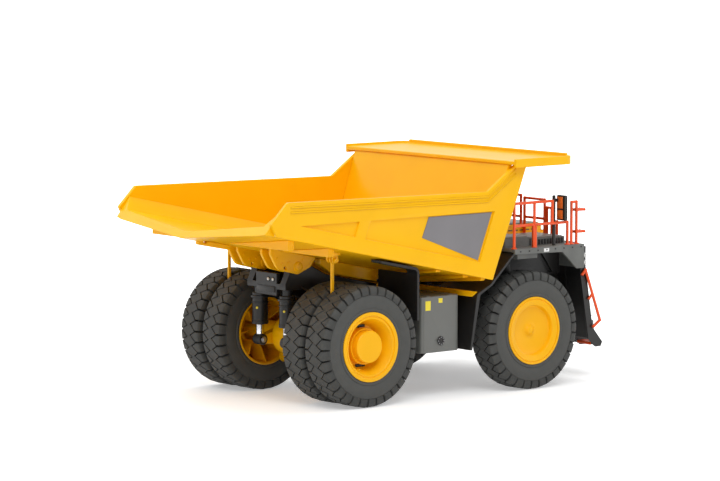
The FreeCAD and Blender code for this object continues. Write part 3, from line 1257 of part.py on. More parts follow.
def cab_inside():
    """Driver's seat and the dashboard ahead of it."""
    body = new_body("cab_inside")
    rear, front, inner, outer, low, high = cab_edges()
    floor, half = low + cell("cab_wall"), cell("seat_half")
    x, y = rear + cell("seat_rear"), (inner + outer) / 2
    seat, back = floor + cell("seat_height"), cell("seat_back_wall")
    box(body, (x, y - half, floor), (x + cell("seat_length"), y + half, seat))
    bar(body, "XZ", [(x, seat - MARGIN), (x + back, seat - MARGIN),
                     (x + MARGIN, floor + cell("seat_back")),
                     (x - back / 2, floor + cell("seat_back"))], y - half, y + half)
    face, gap = front - cell("cab_wall"), cell("console_gap")
    bar(body, "XZ", [(face, floor), (face, floor + cell("console_height")),
                     (face - cell("console_depth"), floor + cell("console_height")),
                     (face - cell("console_foot"), floor)], inner + gap, outer - gap)
    return body


def hood():
    """Hood over the engine, ending in the radiator shell, with the step along its top."""
    body = new_body("hood")
    half, top, wall = cell("hood_half_width"), cell("deck_z"), cell("cab_wall")
    rear, front, low = ahead("deck_rear_x"), ahead("hood_front_x"), cell("hood_low_z")
    edge, end, inner = cell("grille_edge"), cell("grille_end"), cell("cab_inner_y")
    bar(body, "XZ", [(rear, cell("hood_rear_z")), (rear, top), (front, top), (front, low),
                     (front - cell("hood_foot"), low),
                     (front - cell("hood_foot_rear"), cell("hood_side_z"))], -half, half)
    cut(body, "XZ", rectangle((rear - MARGIN, low - MARGIN), (front - wall, top - wall)),
        wall - half, half - wall)
    cut(body, "YZ", rectangle((edge - half, low + end), (half - edge, top - end)),
        front - wall - MARGIN, front + MARGIN)
    step, lap = inner - cell("hood_gap"), cell("sheet_lap")
    box(body, (rear, -step, top - lap),
        (ahead("hood_step_front_x"), step, cell("hood_step_z")), cell("guard_sheet"))
    box(body, (ahead("hood_cover_rear_x"), -step, top - lap),
        (ahead("hood_cover_front_x"), step, cell("hood_cover_z")), cell("guard_sheet"))
    return body


def grille():
    """Radiator core and the slats ahead of it in the hood's front opening."""
    body = new_body("grille")
    half = cell("hood_half_width") - cell("grille_edge")
    front, low = ahead("hood_front_x"), cell("hood_low_z") + cell("grille_end")
    top, wall = cell("deck_z") - cell("grille_end"), cell("cab_wall")
    box(body, (front - wall - cell("core_wall"), -half, low), (front - wall, half, top))
    slat, pitch = cell("slat_height"), cell("slat_pitch")
    inner = half - cell("side_gap")
    for number in range(SIZES["slats"]):
        up = low + MARGIN + pitch * number
        box(body, (front - wall - cell("sheet_lap"), -inner, up),
            (front - cell("side_gap"), inner, up + slat))
    return body


def bumper():
    """Front bumper on the ends of the frame, with a round pocket for each lamp."""
    body = new_body("bumper")
    half, corner = cell("bumper_half_width"), cell("bumper_corner")
    front, bevel = ahead("bumper_front_x"), cell("bumper_bevel")
    rear, low, high = front - cell("bumper_depth"), cell("bumper_low"), cell("bumper_high")
    bar(body, "XY", [(rear, -half), (front, -half, corner), (front, half, corner), (rear, half)],
        low, high)
    cut(body, "XZ", [(front - bevel, low - MARGIN), (front + MARGIN, low - MARGIN),
                     (front + MARGIN, low + bevel), (front, low + bevel), (front - bevel, low)],
        -half - MARGIN, half + MARGIN)
    for centre in lamp_centres():
        cut(body, "YZ", (centre, cell("lamp_radius") + cell("running_gap")),
            front - cell("lamp_pocket"), front + MARGIN)
    return body


def lamp_centres():
    """Centres of the bumper's four lamps, seen from the front."""
    return [(cell(f"lamp_{name}_y") * side, cell("lamp_z"))
            for side in SIDES.values() for name in ("inner", "outer")]


def lamps():
    """Round lamps in the bumper and on the deck's front corners."""
    body = new_body("headlamps")
    front, deck_front = ahead("bumper_front_x"), ahead("deck_front_x")
    for centre in lamp_centres():
        bar(body, "YZ", (centre, cell("lamp_radius")), front - cell("lamp_pocket"),
            front + cell("lamp_proud"))
    for side in SIDES.values():
        for up in (cell("marker_high_z"), cell("marker_low_z")):
            bar(body, "YZ", ((cell("marker_y") * side, up), cell("marker_radius")), deck_front,
                deck_front + cell("marker_proud"))
    return body


def stairs():
    """Stair ahead of each front wheel: two stringers and their treads."""
    body = new_body("stairs")
    for side in SIDES.values():
        stair(body, side)
    return body


def stair(body, side):
    outer, width, edge = cell("stair_outer_y"), cell("stair_width"), cell("stringer")
    deck_low, front = cell("deck_z") - cell("deck_plate"), ahead("deck_front_x")
    foot, low, depth = ahead("stair_foot_x"), cell("stair_foot_z"), cell("stair_depth")
    toe, drop, head = cell("stair_toe"), cell("stair_toe_drop"), cell("stair_bend_z")
    for across in (outer, outer - width + edge):
        bar(body, "XZ", [(front, deck_low), (front, head - cell("stair_heel_rise")),
                         (foot - cell("stair_heel"), low + cell("stair_heel_rise")),
                         (foot - toe, low - drop), (foot - drop, low - drop),
                         (foot, low + drop),
                         (foot - cell("stair_knee"), low + cell("stair_knee_rise")),
                         (front + depth, head), (front + depth, deck_low)],
            (across - edge) * side, across * side)
    inner, steps = (outer - width + edge) * side, SIZES["stair_steps"]
    for number in range(steps):
        share = number / (steps - 1)
        up = low + (cell("stair_top_step") - low) * share
        x = foot - cell("stair_knee") + (front + drop - foot + cell("stair_knee")) * share
        run = cell("step_depth") - cell("step_taper") * share
        box(body, (x, inner, up), (x + run, (outer - edge) * side, up + cell("step_wall")))


def all_parts():
    """Build every piece; returns the fused ones, which are not bodies."""
    wheels()
    for build in (frame, rear_axle, rear_struts, front_axle, tie_rod, bed_floor, bed_headboard,
                  bed_canopy, bed_beams, bed_panels, rock_ejectors, engine, guards_rear,
                  guards_front, deck, cab_shell, cab_roof, cab_door, cab_glass, cab_inside,
                  hood, grille, bumper, lamps, stairs, mirrors):
        build()
    fused = [handrails()]
    for name, side in SIDES.items():
        knuckle(name, side)
        bed_side(name, side)
        fused += hoist(name, side)
    tank("fuel_tank", SIDES["right"])
    tank("hydraulic_tank", SIDES["left"])
    return fused


fused_parts = all_parts()
doc.recompute()
for item in doc.Objects:
    if "Invalid" in item.State or "Error" in item.State:
        parent = item.getParentGeoFeatureGroup()
        raise RuntimeError(f"{item.Label} of {parent and parent.Label} failed: {item.State}")
os.makedirs("parts", exist_ok=True)
bodies = [item for item in doc.Objects if item.TypeId == "PartDesign::Body"]
for item in bodies + fused_parts:
    shape = item.Shape
    if shape.isNull() or not shape.isValid():
        raise RuntimeError(f"{item.Label} has no valid shape")
    print(f"{item.Label:28s} solids {len(shape.Solids)} volume {shape.Volume:9.1f}")
    shape.exportStep(f"parts/{item.Label}.step")
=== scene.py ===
"""Looks of the rigid dump truck model: tread, enamel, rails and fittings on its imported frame."""
import logging
import math
from collections.abc import Iterable, Sequence
from dataclasses import dataclass
from enum import Enum

import bmesh
import bpy
from mathutils import Matrix, Vector


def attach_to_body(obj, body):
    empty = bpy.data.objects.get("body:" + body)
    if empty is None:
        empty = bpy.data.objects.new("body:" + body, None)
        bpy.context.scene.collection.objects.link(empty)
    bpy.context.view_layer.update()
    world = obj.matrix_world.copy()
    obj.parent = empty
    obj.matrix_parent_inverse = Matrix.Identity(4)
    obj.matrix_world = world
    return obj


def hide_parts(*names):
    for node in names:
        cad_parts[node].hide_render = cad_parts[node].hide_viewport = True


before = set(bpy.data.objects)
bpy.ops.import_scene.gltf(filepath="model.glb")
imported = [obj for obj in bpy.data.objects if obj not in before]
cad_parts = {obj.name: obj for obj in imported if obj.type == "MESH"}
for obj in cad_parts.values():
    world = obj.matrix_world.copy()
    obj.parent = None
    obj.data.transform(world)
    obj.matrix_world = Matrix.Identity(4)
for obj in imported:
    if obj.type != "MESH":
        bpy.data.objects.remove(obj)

LOG = logging.getLogger("truck")
MM = 0.001
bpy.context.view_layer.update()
Point = tuple[float, float, float]
Colour = tuple[float, float, float]
Outline = Sequence[tuple[float, float]]
Verts = list[bmesh.types.BMVert]
ALONG: Point = (1.0, 0.0, 0.0)
ACROSS: Point = (0.0, 1.0, 0.0)
UP: Point = (0.0, 0.0, 1.0)
SIDES = ((-1, "right"), (1, "left"))
REAR_X, FRONT_X, AXLE_Z = -44.7, 46.8, 26.0
TYRE_RADIUS = 26.0
TWIN_Y = 36.0
WELD = 2e-6
DECK_TOP = 62.5


# ------------------------------------------------------------------ shader maths
class Wire:
    """A shader socket that takes part in sums like a number."""

    def __init__(self, nodes: "NodeTree", socket: bpy.types.NodeSocket) -> None:
        """Keep the tree that the socket belongs to, and the socket."""
        self.nodes = nodes
        self.socket = socket

    def _math(self, operation: str, first: object, second: object) -> "Wire":
        """Add a Math node for one operation."""
        return self.nodes.add("ShaderNodeMath", {"operation": operation}, {0: first, 1: second})

    def __add__(self, other: object) -> "Wire":
        """Sum."""
        return self._math("ADD", self, other)

    def __sub__(self, other: object) -> "Wire":
        """Difference."""
        return self._math("SUBTRACT", self, other)

    def __mul__(self, other: object) -> "Wire":
        """Product."""
        return self._math("MULTIPLY", self, other)

    def __pow__(self, other: object) -> "Wire":
        """Power."""
        return self._math("POWER", self, other)

    def __radd__(self, other: object) -> "Wire":
        """Sum with a number first."""
        return self._math("ADD", other, self)

    def __rsub__(self, other: object) -> "Wire":
        """Difference with a number first."""
        return self._math("SUBTRACT", other, self)

    def sine(self) -> "Wire":
        """Sine."""
        return self._math("SINE", self, 0.0)

    def most(self, other: object) -> "Wire":
        """Larger of the two."""
        return self._math("MAXIMUM", self, other)

    def ramp(self, low: float, high: float) -> "Wire":
        """Rise smoothly from 0 at one value to 1 at another."""
        return self.nodes.add("ShaderNodeMapRange", {"interpolation_type": "SMOOTHSTEP"},
                              {0: self, 1: low, 2: high, 3: 0.0, 4: 1.0})

    def band(self, low: float, high: float, soft: float) -> "Wire":
        """One between two values, with soft edges."""
        return self.ramp(low - soft, low + soft) * (1 - self.ramp(high - soft, high + soft))


class NodeTree:
    """The nodes of a material or a world, added one call at a time."""

    def __init__(self, owner: bpy.types.ID) -> None:
        """Start with no nodes."""
        owner.use_nodes = True
        self.tree = owner.node_tree
        self.tree.nodes.clear()

    def add(self, kind: str, settings: dict[str, object] | None = None,
            inputs: dict[object, object] | None = None, output: object = 0) -> Wire:
        """Add a node.

        Args:
            kind: The node's type.
            settings: The node's own settings, set before its sockets.
            inputs: Values or wires of its sockets, by name or number.
            output: Name or number of the output to return.

        Returns:
            The node's output as a wire.
        """
        node = self.tree.nodes.new(kind)
        for key, value in (settings or {}).items():
            setattr(node, key, value)
        for key, value in (inputs or {}).items():
            self.plug(node.inputs[key], value)
        return Wire(self, node.outputs[output])

    def plug(self, socket: bpy.types.NodeSocket, value: object) -> None:
        """Give a socket a value or a wire."""
        if isinstance(value, Wire):
            self.tree.links.new(value.socket, socket)
        else:
            socket.default_value = value

    def seen(self) -> Wire:
        """One where the camera looks, straight, through glass or by reflection."""
        path = self.tree.nodes.new("ShaderNodeLightPath")
        camera, glossy, through = (Wire(self, path.outputs[f"Is {ray} Ray"])
                                   for ray in ("Camera", "Glossy", "Transmission"))
        return camera.most(glossy).most(through)


class Surface(NodeTree):
    """A material's nodes round one shader."""

    def __init__(self, name: str) -> None:
        """Start a material of that name with a shader and an output."""
        self.material = bpy.data.materials.new(name)
        super().__init__(self.material)
        output = self.tree.nodes.new("ShaderNodeOutputMaterial")
        self.shader = self.tree.nodes.new("ShaderNodeBsdfPrincipled")
        self.tree.links.new(self.shader.outputs[0], output.inputs[0])

    def surface(self, **values: object) -> bpy.types.Material:
        """Set the shader's sockets, named with underscores, and return the material."""
        for key, value in values.items():
            self.plug(self.shader.inputs[key.replace("_", " ")], value)
        return self.material

    def parts(self, vector: Wire) -> tuple[Wire, ...]:
        """The three parts of a vector."""
        node = self.tree.nodes.new("ShaderNodeSeparateXYZ")
        self.plug(node.inputs[0], vector)
        return tuple(Wire(self, output) for output in node.outputs)

    def place(self) -> tuple[Wire, ...]:
        """Object coordinates in millimetres: the vector and its three parts."""
        coords = self.add("ShaderNodeTexCoord", output="Object")
        point = self.add("ShaderNodeVectorMath", {"operation": "SCALE"},
                         {0: coords, "Scale": 1.0 / MM})
        return point, *self.parts(point)

    def noise(self, point: Wire, scale: float, detail: float = 3.0) -> Wire:
        """Noise between 0 and 1, a scale of 1 being a feature about a millimetre across."""
        return self.add("ShaderNodeTexNoise", {"noise_dimensions": "3D"},
                        {"Vector": point, "Scale": scale, "Detail": detail})

    def blend(self, factor: Wire, first: object, second: object) -> Wire:
        """Mix two colours by a factor."""
        first, second = (value if isinstance(value, Wire) else (*value, 1.0)
                         for value in (first, second))
        node = self.tree.nodes.new("ShaderNodeMix")
        node.data_type = "RGBA"
        self.plug(node.inputs[0], factor)
        self.plug(node.inputs[6], first)
        self.plug(node.inputs[7], second)
        return Wire(self, node.outputs[2])

    def tone(self, patch: Wire, colour: Colour, low: float, high: float) -> Wire:
        """A colour that drifts between two shades of itself."""
        return self.blend(patch.ramp(0.3, 0.7), shade(colour, low), shade(colour, high))

    def bump(self, height: Wire, distance: float) -> Wire:
        """Bump from a height, whose distance is in millimetres."""
        return self.add("ShaderNodeBump", {}, {"Height": height, "Distance": distance * MM,
                                               "Strength": 1.0})


def stand(name: str, data: bpy.types.ID) -> bpy.types.Object:
    """An object of that name, linked to the scene."""
    thing = bpy.data.objects.new(name, data)
    bpy.context.scene.collection.objects.link(thing)
    return thing


def shade(colour: Colour, factor: float) -> Colour:
    """A colour made lighter or darker."""
    return tuple(min(1.0, part * factor) for part in colour)


@dataclass(frozen=True)
class Enamel:
    """Sprayed enamel on cast metal: faint orange peel, a little tone drift, dust low down."""

    name: str
    colour: Colour
    rough: float = 0.3
    coat: float = 0.35
    peel: float = 0.012
    drift: float = 0.05
    dust: float = 0.0
    gloss: float = 0.5

    def build(self) -> bpy.types.Material:
        """Make the material."""
        nodes = Surface(self.name)
        point, _, _, up = nodes.place()
        patch = nodes.noise(point, 0.06, 4.0)
        grain = nodes.noise(point, 1.6, 2.0)
        colour = nodes.tone(patch, self.colour, 1 - self.drift, 1 + self.drift * 0.6)
        fine = nodes.noise(point, 7.0, 2.0)
        colour = nodes.blend(fine.ramp(0.66, 0.8) * 0.25, colour, shade(self.colour, 0.82))
        if self.dust:
            haze = (1 - up.ramp(2.0, 46.0)) * patch.ramp(0.35, 0.75) * self.dust
            colour = nodes.blend(haze, colour, (0.30, 0.27, 0.23))
        return nodes.surface(Base_Color=colour, Roughness=self.rough - 0.06 + grain * 0.12,
                             Specular_IOR_Level=self.gloss, Coat_Weight=self.coat,
                             Coat_Roughness=0.12,
                             Normal=nodes.bump(grain + fine * 0.3, self.peel))


@dataclass(frozen=True)
class Rubber:
    """Matt tyre rubber, with a painted sheen on the sidewalls and painted shade in the grooves."""

    name: str
    axle_x: float
    colour: Colour = (0.052, 0.053, 0.050)

    def build(self) -> bpy.types.Material:
        """Make the material."""
        nodes = Surface(self.name)
        point, along, _, up = nodes.place()
        run, rise = along - self.axle_x, up - AXLE_Z
        reach = (run * run + rise * rise) ** 0.5
        grain = nodes.noise(point, 3.2, 4.0)
        patch = nodes.noise(point, 0.22, 3.0)
        # Painted shade: the rubber is darker below the tread's surface, in the grooves between the
        # blocks.
        groove = 1 - reach.ramp(TYRE_RADIUS - 2.6, TYRE_RADIUS - 0.5)
        wall = reach.band(15.0, 22.4, 0.5)
        colour = nodes.tone(patch, self.colour, 0.86, 1.22)
        # Painted sheen: the sidewall band is made paler.
        colour = nodes.blend(wall * 0.55, colour, shade(self.colour, 1.35))
        # Painted shade in the grooves.
        colour = nodes.blend(groove * (1 - wall) * 0.5, colour, shade(self.colour, 0.55))
        speck = nodes.noise(point, 1.3, 3.0).ramp(0.68, 0.78)
        colour = nodes.blend(speck * 0.25, colour, (0.12, 0.115, 0.105))
        return nodes.surface(Base_Color=colour, Roughness=0.62 + patch * 0.16,
                             Specular_IOR_Level=0.4,
                             Normal=nodes.bump(grain + (reach * 9.0).sine() * wall * 0.25, 0.03))


@dataclass(frozen=True)
class Plated:
    """Bright or dull metal with a fine grain."""

    name: str
    colour: Colour
    rough: float = 0.18

    def build(self) -> bpy.types.Material:
        """Make the material."""
        nodes = Surface(self.name)
        point, _, _, _ = nodes.place()
        grain = nodes.noise(point, 4.0, 3.0)
        patch = nodes.noise(point, 0.5, 2.0)
        return nodes.surface(Base_Color=nodes.blend(patch, shade(self.colour, 0.8), self.colour),
                             Metallic=1.0, Roughness=self.rough + grain * 0.12,
                             Normal=nodes.bump(grain, 0.006))


@dataclass(frozen=True)
class Glazing:
    """Clear window pane with faint smears."""

    name: str
    tint: Colour = (0.82, 0.87, 0.86)

    def build(self) -> bpy.types.Material:
        """Make the material."""
        nodes = Surface(self.name)
        point, _, _, _ = nodes.place()
        smear = nodes.noise(point, 0.3, 3.0)
        return nodes.surface(Base_Color=nodes.blend(smear, shade(self.tint, 0.92), self.tint),
                             Roughness=0.02 + smear * 0.05, Transmission_Weight=0.92, IOR=1.45)


@dataclass(frozen=True)
class Lens:
    """Moulded lamp lens with fine crossed flutes and painted shade in their troughs."""

    name: str
    colour: Colour
    pitch: float = 0.5

    def build(self) -> bpy.types.Material:
        """Make the material."""
        nodes = Surface(self.name)
        point, _, across, up = nodes.place()
        turn = math.tau / self.pitch
        height = (across * turn).sine() * 0.5 + (up * turn).sine() * 0.5
        grain = nodes.noise(point, 2.0)
        # Painted shade: the lens is darker in the troughs of the flutes.
        colour = nodes.blend(height.ramp(-1.0, 1.0), shade(self.colour, 0.75), self.colour)
        return nodes.surface(Base_Color=colour, Roughness=0.08 + grain * 0.08, Coat_Weight=0.8,
                             Normal=nodes.bump(height, 0.05))


@dataclass(frozen=True)
class Decking:
    """Satin walkway paint over a raised diamond grip on the level faces, with a painted highlight
    on the raised diamonds.
    """

    name: str
    colour: Colour
    pitch: float = 1.5

    def build(self) -> bpy.types.Material:
        """Make the material."""
        nodes = Surface(self.name)
        point, along, across, _ = nodes.place()
        turn = math.pi / self.pitch
        grip = (((along + across) * turn).sine() * ((along - across) * turn).sine()).ramp(
            0.25, 0.6)
        level = nodes.parts(nodes.add("ShaderNodeTexCoord", output="Normal"))[2].ramp(0.7, 0.95)
        patch = nodes.noise(point, 0.12, 4.0)
        grain = nodes.noise(point, 4.0, 3.0)
        colour = nodes.tone(patch, self.colour, 0.88, 1.12)
        # Painted highlight: the raised diamonds on level faces are made paler.
        colour = nodes.blend(grip * level * 0.5, colour, shade(self.colour, 1.5))
        return nodes.surface(Base_Color=colour, Roughness=0.5 + grain * 0.12,
                             Normal=nodes.bump(grip * level + grain * 0.15, 0.12))


class Finish(Enum):
    """Finishes of the model's pieces; each value builds one material."""

    YELLOW = Enamel("yellow_enamel", (0.95, 0.50, 0.0015), rough=0.32, coat=0.05, drift=0.03,
                    gloss=0.14)
    RIM = Enamel("rim_enamel", (0.95, 0.48, 0.0015), rough=0.34, coat=0.05, drift=0.04,
                 dust=0.04, gloss=0.16)
    BLACK = Enamel("black_enamel", (0.014, 0.0135, 0.013), rough=0.40, coat=0.05, drift=0.15,
                   dust=0.02, gloss=0.3)
    GREY = Enamel("grey_enamel", (0.128, 0.132, 0.122), rough=0.42, coat=0.1, drift=0.07)
    PANEL = Enamel("panel_enamel", (0.165, 0.158, 0.168), rough=0.36, coat=0.15, drift=0.06)
    ORANGE = Enamel("orange_enamel", (0.83, 0.085, 0.010), rough=0.32, coat=0.1, drift=0.05,
                    gloss=0.3)
    PANE = Enamel("mirror_pane", (0.80, 0.17, 0.03), rough=0.16, coat=0.4, drift=0.05)
    SEAT = Enamel("seat_moulding", (0.03, 0.03, 0.032), rough=0.6, coat=0.0, peel=0.03)
    DECK = Decking("deck_paint", (0.118, 0.122, 0.114))
    TYRE_REAR = Rubber("tyre_rubber_rear", REAR_X)
    TYRE_FRONT = Rubber("tyre_rubber_front", FRONT_X)
    CHROME = Plated("bright_rod", (0.78, 0.78, 0.80))
    STEEL = Plated("dull_steel", (0.42, 0.42, 0.44), rough=0.36)
    GLASS = Glazing("window_pane")
    LAMP = Lens("lamp_lens", (0.88, 0.88, 0.84))
    AMBER = Lens("amber_lens", (0.90, 0.33, 0.02), pitch=0.4)
    # Also the pale disc of painted highlight on each strut barrel.
    LABEL_AND_GLINT = Enamel("blank_label_and_glint", (0.86, 0.70, 0.02), rough=0.4, coat=0.1)
    PLATE = Enamel("blank_plate", (0.80, 0.80, 0.78), rough=0.4, coat=0.1)


class Paints:
    """Materials, each built the first time that it is asked for."""

    made: dict[Finish, bpy.types.Material] = {}

    @classmethod
    def of(cls, finish: Finish) -> bpy.types.Material:
        """The material of a finish."""
        if finish not in cls.made:
            cls.made[finish] = finish.value.build()
        return cls.made[finish]


# ------------------------------------------------------------------ mesh helpers
def settle(mesh: bmesh.types.BMesh, name: str, data: bpy.types.Mesh, smooth: float,
           finish: Finish) -> bpy.types.Object:
    """Make a finished object of a mesh.

    Args:
        mesh: The mesh, which is freed.
        name: The object's name.
        data: What the mesh is written to.
        smooth: Edges that turn more than this angle stay sharp.
        finish: The object's finish.

    Returns:
        The object, in the scene.
    """
    for face in mesh.faces:
        face.smooth = True
    mesh.to_mesh(data)
    mesh.free()
    data.set_sharp_from_angle(angle=math.radians(smooth))
    data.materials.append(Paints.of(finish))
    return stand(name, data)


class Shape:
    """A mesh in the making, in millimetres, in the model's own frame."""

    def __init__(self) -> None:
        """Start empty."""
        self.mesh = bmesh.new()

    def block(self, low: Point, high: Point) -> Verts:
        """An upright block between two corners, whose parts come in any order."""
        low, high = zip(*(sorted(pair) for pair in zip(low, high)))
        made = bmesh.ops.create_cube(self.mesh, size=1.0)["verts"]
        size = [top - base for base, top in zip(low, high)]
        middle = [(top + base) / 2 for base, top in zip(low, high)]
        bmesh.ops.scale(self.mesh, verts=made, vec=size)
        bmesh.ops.translate(self.mesh, verts=made, vec=middle)
        return made

    def prism(self, outline: Outline, low: float, high: float) -> None:
        """An outline of (along, up) corners, extruded across the model."""
        low, high = sorted((low, high))
        face = self.mesh.faces.new([self.mesh.verts.new((along, low, up))
                                    for along, up in outline])
        made = bmesh.ops.extrude_face_region(self.mesh, geom=[face], use_keep_orig=True)
        verts = [item for item in made["geom"] if isinstance(item, bmesh.types.BMVert)]
        bmesh.ops.translate(self.mesh, verts=verts, vec=(0.0, high - low, 0.0))

    def pair(self, low: Point, high: Point) -> None:
        """An upright block on the left and its mirror on the right."""
        for side, _ in SIDES:
            self.block((low[0], low[1] * side, low[2]), (high[0], high[1] * side, high[2]))

    def rod(self, start: Point, end: Point, radius: float, end_radius: float | None = None,
            sides: int = 16) -> Verts:
        """A round bar between two points."""
        first, last = Vector(start), Vector(end)
        run = last - first
        turn = run.to_track_quat("Z", "Y").to_matrix().to_4x4()
        matrix = Matrix.Translation((first + last) / 2) @ turn
        return bmesh.ops.create_cone(
            self.mesh, cap_ends=True, segments=sides, radius1=radius,
            radius2=radius if end_radius is None else end_radius, depth=run.length,
            matrix=matrix)["verts"]

    def stud(self, spot: Point, reach: float, radius: float, end_radius: float | None = None,
             sides: int = 16) -> Verts:
        """A round bar that stands out across the model."""
        return self.rod(spot, (spot[0], spot[1] + reach, spot[2]), radius, end_radius, sides)

    def lathe(self, outline: Outline, centre: Point, axis: Point,
              steps: int = 48, closed: bool = False) -> None:
        """Spin an outline of (along the axis, radius) points once round an axis."""
        turn = Vector(axis).to_track_quat("Z", "Y").to_matrix()
        verts = [self.mesh.verts.new(Vector(centre) + turn @ Vector((radius, 0.0, along)))
                 for along, radius in outline]
        edges = [self.mesh.edges.new(pair)
                 for pair in zip(verts, verts[1:] + verts[:1] if closed else verts[1:])]
        bmesh.ops.spin(self.mesh, geom=[*verts, *edges], cent=centre, axis=axis,
                       angle=math.tau, steps=steps, use_merge=True)

    def ring(self, centre: Point, axis: Point, radius: float, tube: float, steps: int = 40,
             sides: int = 12) -> None:
        """A torus."""
        outline = [(tube * math.sin(math.tau * number / sides),
                    radius + tube * math.cos(math.tau * number / sides))
                   for number in range(sides)]
        self.lathe(outline, centre, axis, steps, closed=True)

    def bevel(self, width: float, segments: int = 2, angle: float = 30.0) -> None:
        """Round the edges that turn more than an angle."""
        limit = math.radians(angle)
        chosen = [edge for edge in self.mesh.edges
                  if len(edge.link_faces) == 2 and edge.calc_face_angle(0.0) > limit]
        bmesh.ops.bevel(self.mesh, geom=chosen, offset=width, offset_type="OFFSET",
                        segments=segments, profile=0.5, affect="EDGES", clamp_overlap=True,
                        material=-1)

    def repeat(self, verts: Iterable[bmesh.types.BMVert], centre: Point, axis: Point,
               count: int) -> None:
        """Copy what the vertices carry round an axis, so that there are count in all."""
        chosen = set(verts)
        geom = [item for group in (self.mesh.verts, self.mesh.edges, self.mesh.faces)
                for item in group
                if (item in chosen if isinstance(item, bmesh.types.BMVert)
                    else all(vert in chosen for vert in item.verts))]
        bmesh.ops.spin(self.mesh, geom=geom, cent=centre, axis=axis,
                       angle=math.tau * (count - 1) / count, steps=count - 1,
                       use_duplicate=True)

    def mount(self, name: str, finish: Finish, body: str = "chassis", smooth: float = 35.0,
              stands_for: Sequence[str] = ()) -> None:
        """Turn the mesh into an object at the origin, in metres, and let it ride.

        Args:
            name: The object's name.
            finish: Its finish.
            body: The body that it rides on.
            smooth: Edges that turn more than this angle stay sharp.
            stands_for: The CAD nodes that it replaces.
        """
        bmesh.ops.remove_doubles(self.mesh, verts=self.mesh.verts, dist=1e-5)
        bmesh.ops.recalc_face_normals(self.mesh, faces=self.mesh.faces)
        bmesh.ops.scale(self.mesh, verts=self.mesh.verts, vec=(MM, MM, MM))
        piece = settle(self.mesh, name, bpy.data.meshes.new(name), smooth, finish)
        attach(piece, body, stands_for)


def attach(piece: bpy.types.Object, body: str,
           stands_for: Sequence[str]) -> None:
    """Let a piece ride on a body, and hide the CAD nodes that it stands for."""
    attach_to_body(piece, body)
    if stands_for:
        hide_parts(*stands_for)
    LOG.info("%s rides on %s", piece.name, body)


@dataclass(frozen=True)
class BedPlate:
    """The plate of the bed's floor, which falls forward and rises to both sides."""

    over_axle: float = 62.0
    slope: float = 0.22
    thick: float = 2.4
    rise: float = 5.1
    half_width: float = 48.0
    lip_x: float = -98.0
    lip_drop: float = 1.2

    def underside(self, along: float, across: float) -> float:
        """Height of the plate's underside."""
        share = min(abs(across), self.half_width) / self.half_width
        return self.over_axle - self.slope * (along - REAR_X) - self.thick + self.rise * share


@dataclass(frozen=True)
class Skin:
    """How one CAD node is dressed: its finish, and the round on its edges in millimetres."""

    node: str
    body: str
    finish: Finish
    round_edge: float = 0.25
    smooth: float = 28.0
    thinner_lip: float = 0.0
    flat: float = 0.6

    def dress(self) -> None:
        """Stand a copy of the node with rounded edges in its place."""
        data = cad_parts[self.node].data.copy()
        data.name = f"{self.node}_skin"
        data.materials.clear()
        mesh = bmesh.new()
        mesh.from_mesh(data)
        bmesh.ops.remove_doubles(mesh, verts=mesh.verts, dist=WELD)
        bmesh.ops.dissolve_limit(mesh, angle_limit=math.radians(self.flat), verts=mesh.verts,
                                 edges=mesh.edges)
        if self.thinner_lip:
            self.thin_lip(mesh)
        piece = settle(mesh, f"{self.node}_skin", data, self.smooth + 12, self.finish)
        if self.round_edge:
            bevel = piece.modifiers.new("round", "BEVEL")
            bevel.width = self.round_edge * MM
            bevel.segments = 2
            bevel.limit_method = "ANGLE"
            bevel.angle_limit = math.radians(self.smooth)
            bevel.harden_normals = True
            bevel.use_clamp_overlap = False
        attach(piece, self.body, (self.node,))

    def thin_lip(self, mesh: bmesh.types.BMesh) -> None:
        """Raise the underside of the floor's tail lip."""
        plate = BedPlate()
        for vert in mesh.verts:
            along, across, up = (part / MM for part in vert.co)
            if along < plate.lip_x and up < plate.underside(along, across) - plate.lip_drop:
                vert.co.z += self.thinner_lip * MM


